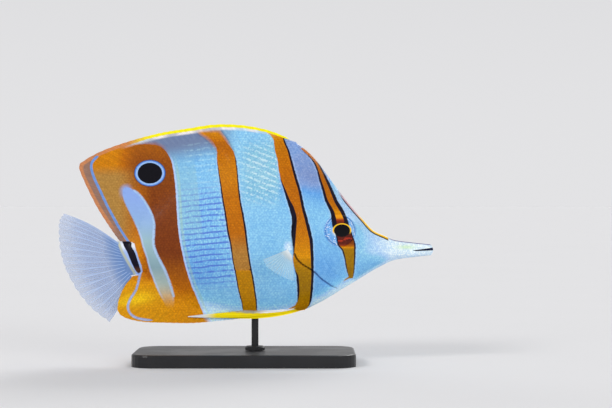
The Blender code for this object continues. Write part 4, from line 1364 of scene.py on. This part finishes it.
def gill_edge(paint):
    """Dark edge of the gill cover, fainter on the throat."""
    dark = paint.mix(paint.ahead(26.5, 30), (0.13, 0.12, 0.24), (0.52, 0.52, 0.72))
    edge = paint.times(paint.step(paint.marked("gill", 0.2), 0.46, 0.22), 0.95)
    paint.lay(edge, paint.mix(1.0, paint.colour, dark, "MULTIPLY"))


def skin_material(name, scales=True):
    paint = Skin(name)
    height = paint.cells(1500) if scales else paint.noise(1500)
    rough = paint.step(paint.noise(500), 0.3, 0.7, 0.34, 0.46)
    return paint.finish(rough, paint.bump(height, 0.06, 0.35))


def fin_material():
    paint = Skin("fin")
    paint.shade(paint.step(paint.field("ray"), 0.2, 0.9), (0.93, 0.93, 0.95), (1.08, 1.06, 1.02))
    scaly = paint.times(paint.cells(900), paint.step(paint.field("rim"), 0.85, 0.5))
    height = paint.add(scaly, paint.times(paint.noise(1300, 3), 0.3))
    alpha = paint.step(paint.field("outside"), 0.2, 1.4, 1.0, 0.78)
    return paint.finish(0.42, paint.bump(height, 0.08, 0.4), alpha)


def clear_fin_material(name, tint, root_tint, ray_tint, solid, root_reach, fine_lines):
    """A clear membrane with pale rays, more solid at its root and first ray, fading at its tips."""
    paint = Paint(name, coat=0.1)
    membrane_alpha, ray_alpha = solid
    out, across = paint.field("rim"), paint.field("across")
    fine = paint.step(paint.math("SINE", paint.times(across, fine_lines * 2 * math.pi)), 0.2, 0.9)
    fine = paint.times(fine, paint.step(out, 0.02, 0.25), 0.6)
    ray = paint.most(paint.step(paint.field("ray"), 0.15, 0.85), fine)
    ray = paint.most(ray, paint.times(paint.step(across, 0.08, 0.01), 0.8))
    near_root = paint.step(out, root_reach, 0.0)
    streak = paint.noise(900, 3)
    paint.colour = paint.mix(near_root, tint, root_tint)
    paint.lay(paint.times(ray, 0.75), ray_tint)
    paint.shade(streak, (0.9, 0.92, 0.95), (1.08, 1.06, 1.04))
    alpha = paint.add(membrane_alpha, paint.times(ray, ray_alpha - membrane_alpha))
    alpha = paint.times(alpha, paint.step(out, 0.5, 1.0, 1.0, 0.5))
    return paint.finish(0.4, paint.bump(streak, 0.05, 0.4), paint.most(alpha, near_root))


def pelvic_material():
    """Orange at the root, then yellow with a white tip, and a pale upper edge: tan membrane behind, a white
    painted highlight ahead.
    """
    paint = Paint("pelvic_fin", coat=0.1)
    across = paint.add(paint.field("across"), paint.waver(700, 2, 0.2))
    paint.colour = paint.mix(paint.ahead(17.5, 25.5), (1.0, 0.82, 0.002), (0.80, 0.36, 0.002))
    # Upper edge: tan where the membrane lies over the belly, white ahead as a painted highlight.
    pale = paint.mix(paint.ahead(3, 9), (0.42, 0.40, 0.30), (0.95, 0.97, 1.0))
    paint.lay(paint.times(paint.step(across, 0.5, 0.6), paint.ahead(21.5, 18.5)), pale)
    paint.lay(paint.ahead(-11, -17), (0.84, 0.90, 0.94))
    paint.shade(paint.step(paint.field("ray"), 0.2, 0.9), (0.92, 0.88, 0.86), (1.05, 1.05, 1.04))
    alpha = paint.less(1.0, paint.times(paint.step(across, 0.6, 0.9), paint.ahead(12, 6), 0.4))
    return paint.finish(0.4, paint.bump(paint.noise(1300), 0.05, 0.4), alpha)


def mottled_material(name, scale, dark, light, **options):
    paint = Paint(name, **options)
    paint.colour = paint.mix(paint.noise(scale), dark, light)
    return paint.finish()


def eye_material():
    paint = Paint("eye", roughness=0.2, coat=0.2, specular=0.06, coat_roughness=0.03)
    fibres = paint.noise(1800, 4, 0.6)
    loose = paint.less(fibres, 0.5)
    away = paint.field("pupil")

    # Iris and its rings
    rim = paint.add(paint.field("iris"), paint.times(loose, 0.03))
    paint.colour = paint.ramp(paint.step(away, -3.0, 0.0), [
        (0.0, (0.13, 0.38, 0.80)), (0.7, (0.17, 0.43, 0.82)), (0.92, (0.42, 0.62, 0.86)),
        (1.0, (0.70, 0.78, 0.80)),
    ])
    paint.shade(fibres, (0.72, 0.80, 0.9), (1.22, 1.15, 1.06))
    paint.lay(paint.band(rim, 0.80, 0.83, 0.02), (0.42, 0.62, 0.90))
    paint.lay(paint.times(paint.band(rim, 0.86, 0.92, 0.02), 0.7), (0.07, 0.20, 0.52))
    arcs = paint.times(paint.step(paint.noise(260, 1), 0.42, 0.55), paint.step(rim, 0.925, 0.95), 0.75)
    paint.lay(arcs, (0.72, 0.86, 0.97))
    glint = paint.times(paint.step(paint.noise(1500, 1), 0.60, 0.67), paint.step(rim, 0.45, 0.6))
    paint.lay(paint.times(glint, paint.step(away, -0.8, -1.5)), (0.85, 0.91, 0.98))

    # The bar that crosses it
    bar = paint.ramp(paint.add(paint.field("tone"), paint.times(loose, 0.2)), [
        (0.0, (0.06, 0.006, 0.005)), (0.3, (0.38, 0.05, 0.008)), (0.6, (0.90, 0.36, 0.006)),
        (1.0, (0.5, 0.25, 0.02)),
    ])
    streaks = paint.step(paint.noise(500, 2, stretch=(0.5, 1, 1.6)), 0.54, 0.6)
    bar = paint.mix(paint.times(streaks, paint.up(8.8, 8.0)), bar, (0.42, 0.03, 0.010))
    bar = paint.mix(paint.step(paint.field("black"), -0.1, 0.1), bar, (0.008, 0.006, 0.016))
    inside = paint.add(paint.field("copper"), paint.times(loose, 0.5))
    paint.lay(paint.step(inside, -0.15, 0.15), bar)

    # Golden arc over the pupil
    paint.lay(paint.times(paint.band(away, -0.5, 0.0, 0.08), paint.up(9.5, 11.0)), (0.95, 0.55, 0.02))
    paint.lay(paint.step(away, -0.06, 0.06), (0.0015, 0.0015, 0.003))
    return paint.finish()


def stand_material():
    paint = Paint("stand_finish", coat=0.1)
    wear = paint.noise(60, 4)
    paint.colour = paint.mix(wear, (0.018, 0.018, 0.020), (0.032, 0.032, 0.035))
    rough = paint.step(wear, 0.3, 0.7, 0.36, 0.48)
    return paint.finish(rough, paint.bump(paint.noise(2600, 3), 0.04, 0.5))


# Stage


def make_stage():
    """A wide pale floor under an even sky that is as pale as the floor where they meet."""
    size = FLOOR_REACH
    mesh = bpy.data.meshes.new("floor")
    corners = [(-size, -size, 0), (size, -size, 0), (size, size, 0), (-size, size, 0)]
    mesh.from_pydata(corners, [], [(0, 1, 2, 3)])
    floor = link("floor", mesh)
    pale, paler = (0.79, 0.79, 0.80), (0.81, 0.81, 0.82)
    mesh.materials.append(mottled_material("floor", 8, pale, paler, roughness=0.9, specular=0.0))
    world = bpy.context.scene.world or bpy.data.worlds.new("studio")
    bpy.context.scene.world = world
    world.use_nodes = True
    nodes, links = world.node_tree.nodes, world.node_tree.links
    split, rise, sky = (nodes.new(f"ShaderNode{kind}") for kind in ("SeparateXYZ", "MapRange", "Mix"))
    links.new(nodes.new("ShaderNodeTexCoord").outputs["Generated"], split.inputs[0])
    links.new(split.outputs["Z"], rise.inputs["Value"])
    rise.inputs["From Max"].default_value = SKY_RISE
    rise.interpolation_type = "SMOOTHSTEP"
    sky.data_type = "RGBA"
    sky.inputs[6].default_value = (*HORIZON, 1)
    sky.inputs[7].default_value = (*ZENITH, 1)
    links.new(rise.outputs[0], sky.inputs[0])
    links.new(sky.outputs[2], nodes["Background"].inputs[0])


def make_light(name, direction, angle, strength, colour, glossy):
    """A wide, distant studio light, so that the floor is lit evenly."""
    lamp = bpy.data.lights.new(name, "SUN")
    lamp.angle, lamp.energy, lamp.color = math.radians(angle), strength, colour
    obj = link(name, lamp)
    obj.location = Vector(direction)
    obj.rotation_euler = Vector(direction).to_track_quat("Z", "Y").to_euler()
    obj.visible_glossy = glossy


def make_camera():
    camera = bpy.data.cameras.new("camera")
    camera.lens, camera.sensor_width = LENS, SENSOR
    distance = PHOTO_SIZE[0] * PIXEL * MM * LENS / SENSOR
    x, z = real((PHOTO_SIZE[0] / 2, PHOTO_SIZE[1] / 2)) * MM
    obj = link("camera", camera)
    obj.location = (x, -distance, z + AXIS_HEIGHT * MM)
    obj.rotation_euler = (math.radians(90), 0, 0)
    bpy.context.scene.camera = obj


def make_body():
    """The skin, the scales over it and the two fins that grow out of it."""
    skin_paint, scale_paint = skin_material("skin"), skin_material("scales", scales=False)
    # Near-black paint for the inside of the mouth: painted shade in the mouth's slit.
    dark, less_dark = (0.010, 0.016, 0.06), (0.03, 0.03, 0.10)
    mouth_paint = mottled_material("mouth_shade", 900, dark, less_dark, roughness=0.6)
    keep(
        make_skin(skin_paint, mouth_paint), None, "skin",
        "head", "snout", "lower_jaw", "torso", "tail_stem", "gill_cover_left", "gill_cover_right",
    )
    fin_paint = fin_material()
    fins = {"dorsal": make_dorsal_fin(), "anal": make_anal_fin()}
    for fin, obj in fins.items():
        keep(obj, fin_paint, "fin", f"{fin}_fin")
    faces = {fin: fin_side(obj) for fin, obj in fins.items()}
    sheaths = {fin: fin_sheath(at, SHEATH_REACH[fin]) for fin, at in faces.items()}
    coats = [
        ("body", scaled_places(False, faces.values()), BODY_PLATE),
        ("head", scaled_places(True, faces.values()), HEAD_PLATE),
    ]
    for name, side in SIDES:
        for part, places, plate in coats:
            keep(make_scales(f"scales_{part}_{name}", side, places, surface, plate), scale_paint, "skin")
        for fin, places in sheaths.items():
            at = faces[fin]
            scales = make_scales(
                f"scales_{fin}_{name}", side, places, lambda x, z: at(x, z)[0], SHEATH_PLATE
            )
            keep(scales, scale_paint, "fin")


def make_free_parts():
    """Tail fin, paired fins and eyes."""
    tail_paint = clear_fin_material(
        "tail_fin", (0.21, 0.33, 0.60), (0.15, 0.27, 0.55), (0.50, 0.64, 0.90), (0.46, 0.66), 0.55, 67,
    )
    keep(make_caudal_fin(), tail_paint, "clear_fin", "caudal_fin")
    # Pectoral fins: near-white at the root over a pale blue membrane. The whiteness is partly the fin's own
    # and partly painted light, raised because the lamps leave the fin's face in shade.
    clear_paint = clear_fin_material(
        "pectoral_fin", (0.56, 0.87, 1.0), (0.97, 1.0, 1.0), (0.86, 0.98, 1.0), (0.30, 0.46), 0.5, 55,
    )
    pelvic_paint, eye_paint = pelvic_material(), eye_material()
    for name, side in SIDES:
        keep(make_pelvic_fin(f"pelvic_{name}_skin", side), pelvic_paint, "fin", f"pelvic_fin_{name}")
        pectoral = make_pectoral_fin(f"pectoral_{name}_skin", side)
        keep(pectoral, clear_paint, "clear_fin", f"pectoral_fin_{name}")
        keep(make_eye(f"eye_{name}_ball", side), eye_paint, "eye", f"eye_{name}")


def main():
    bpy.context.scene.view_settings.view_transform = "Standard"
    make_camera()
    make_body()
    make_free_parts()
    stand_paint = stand_material()
    for node in ("stand_base", "stand_rod"):
        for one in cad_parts[node].material_slots:
            one.material = stand_paint
    make_stage()
    for light in LIGHTS:
        make_light(*light)


main()
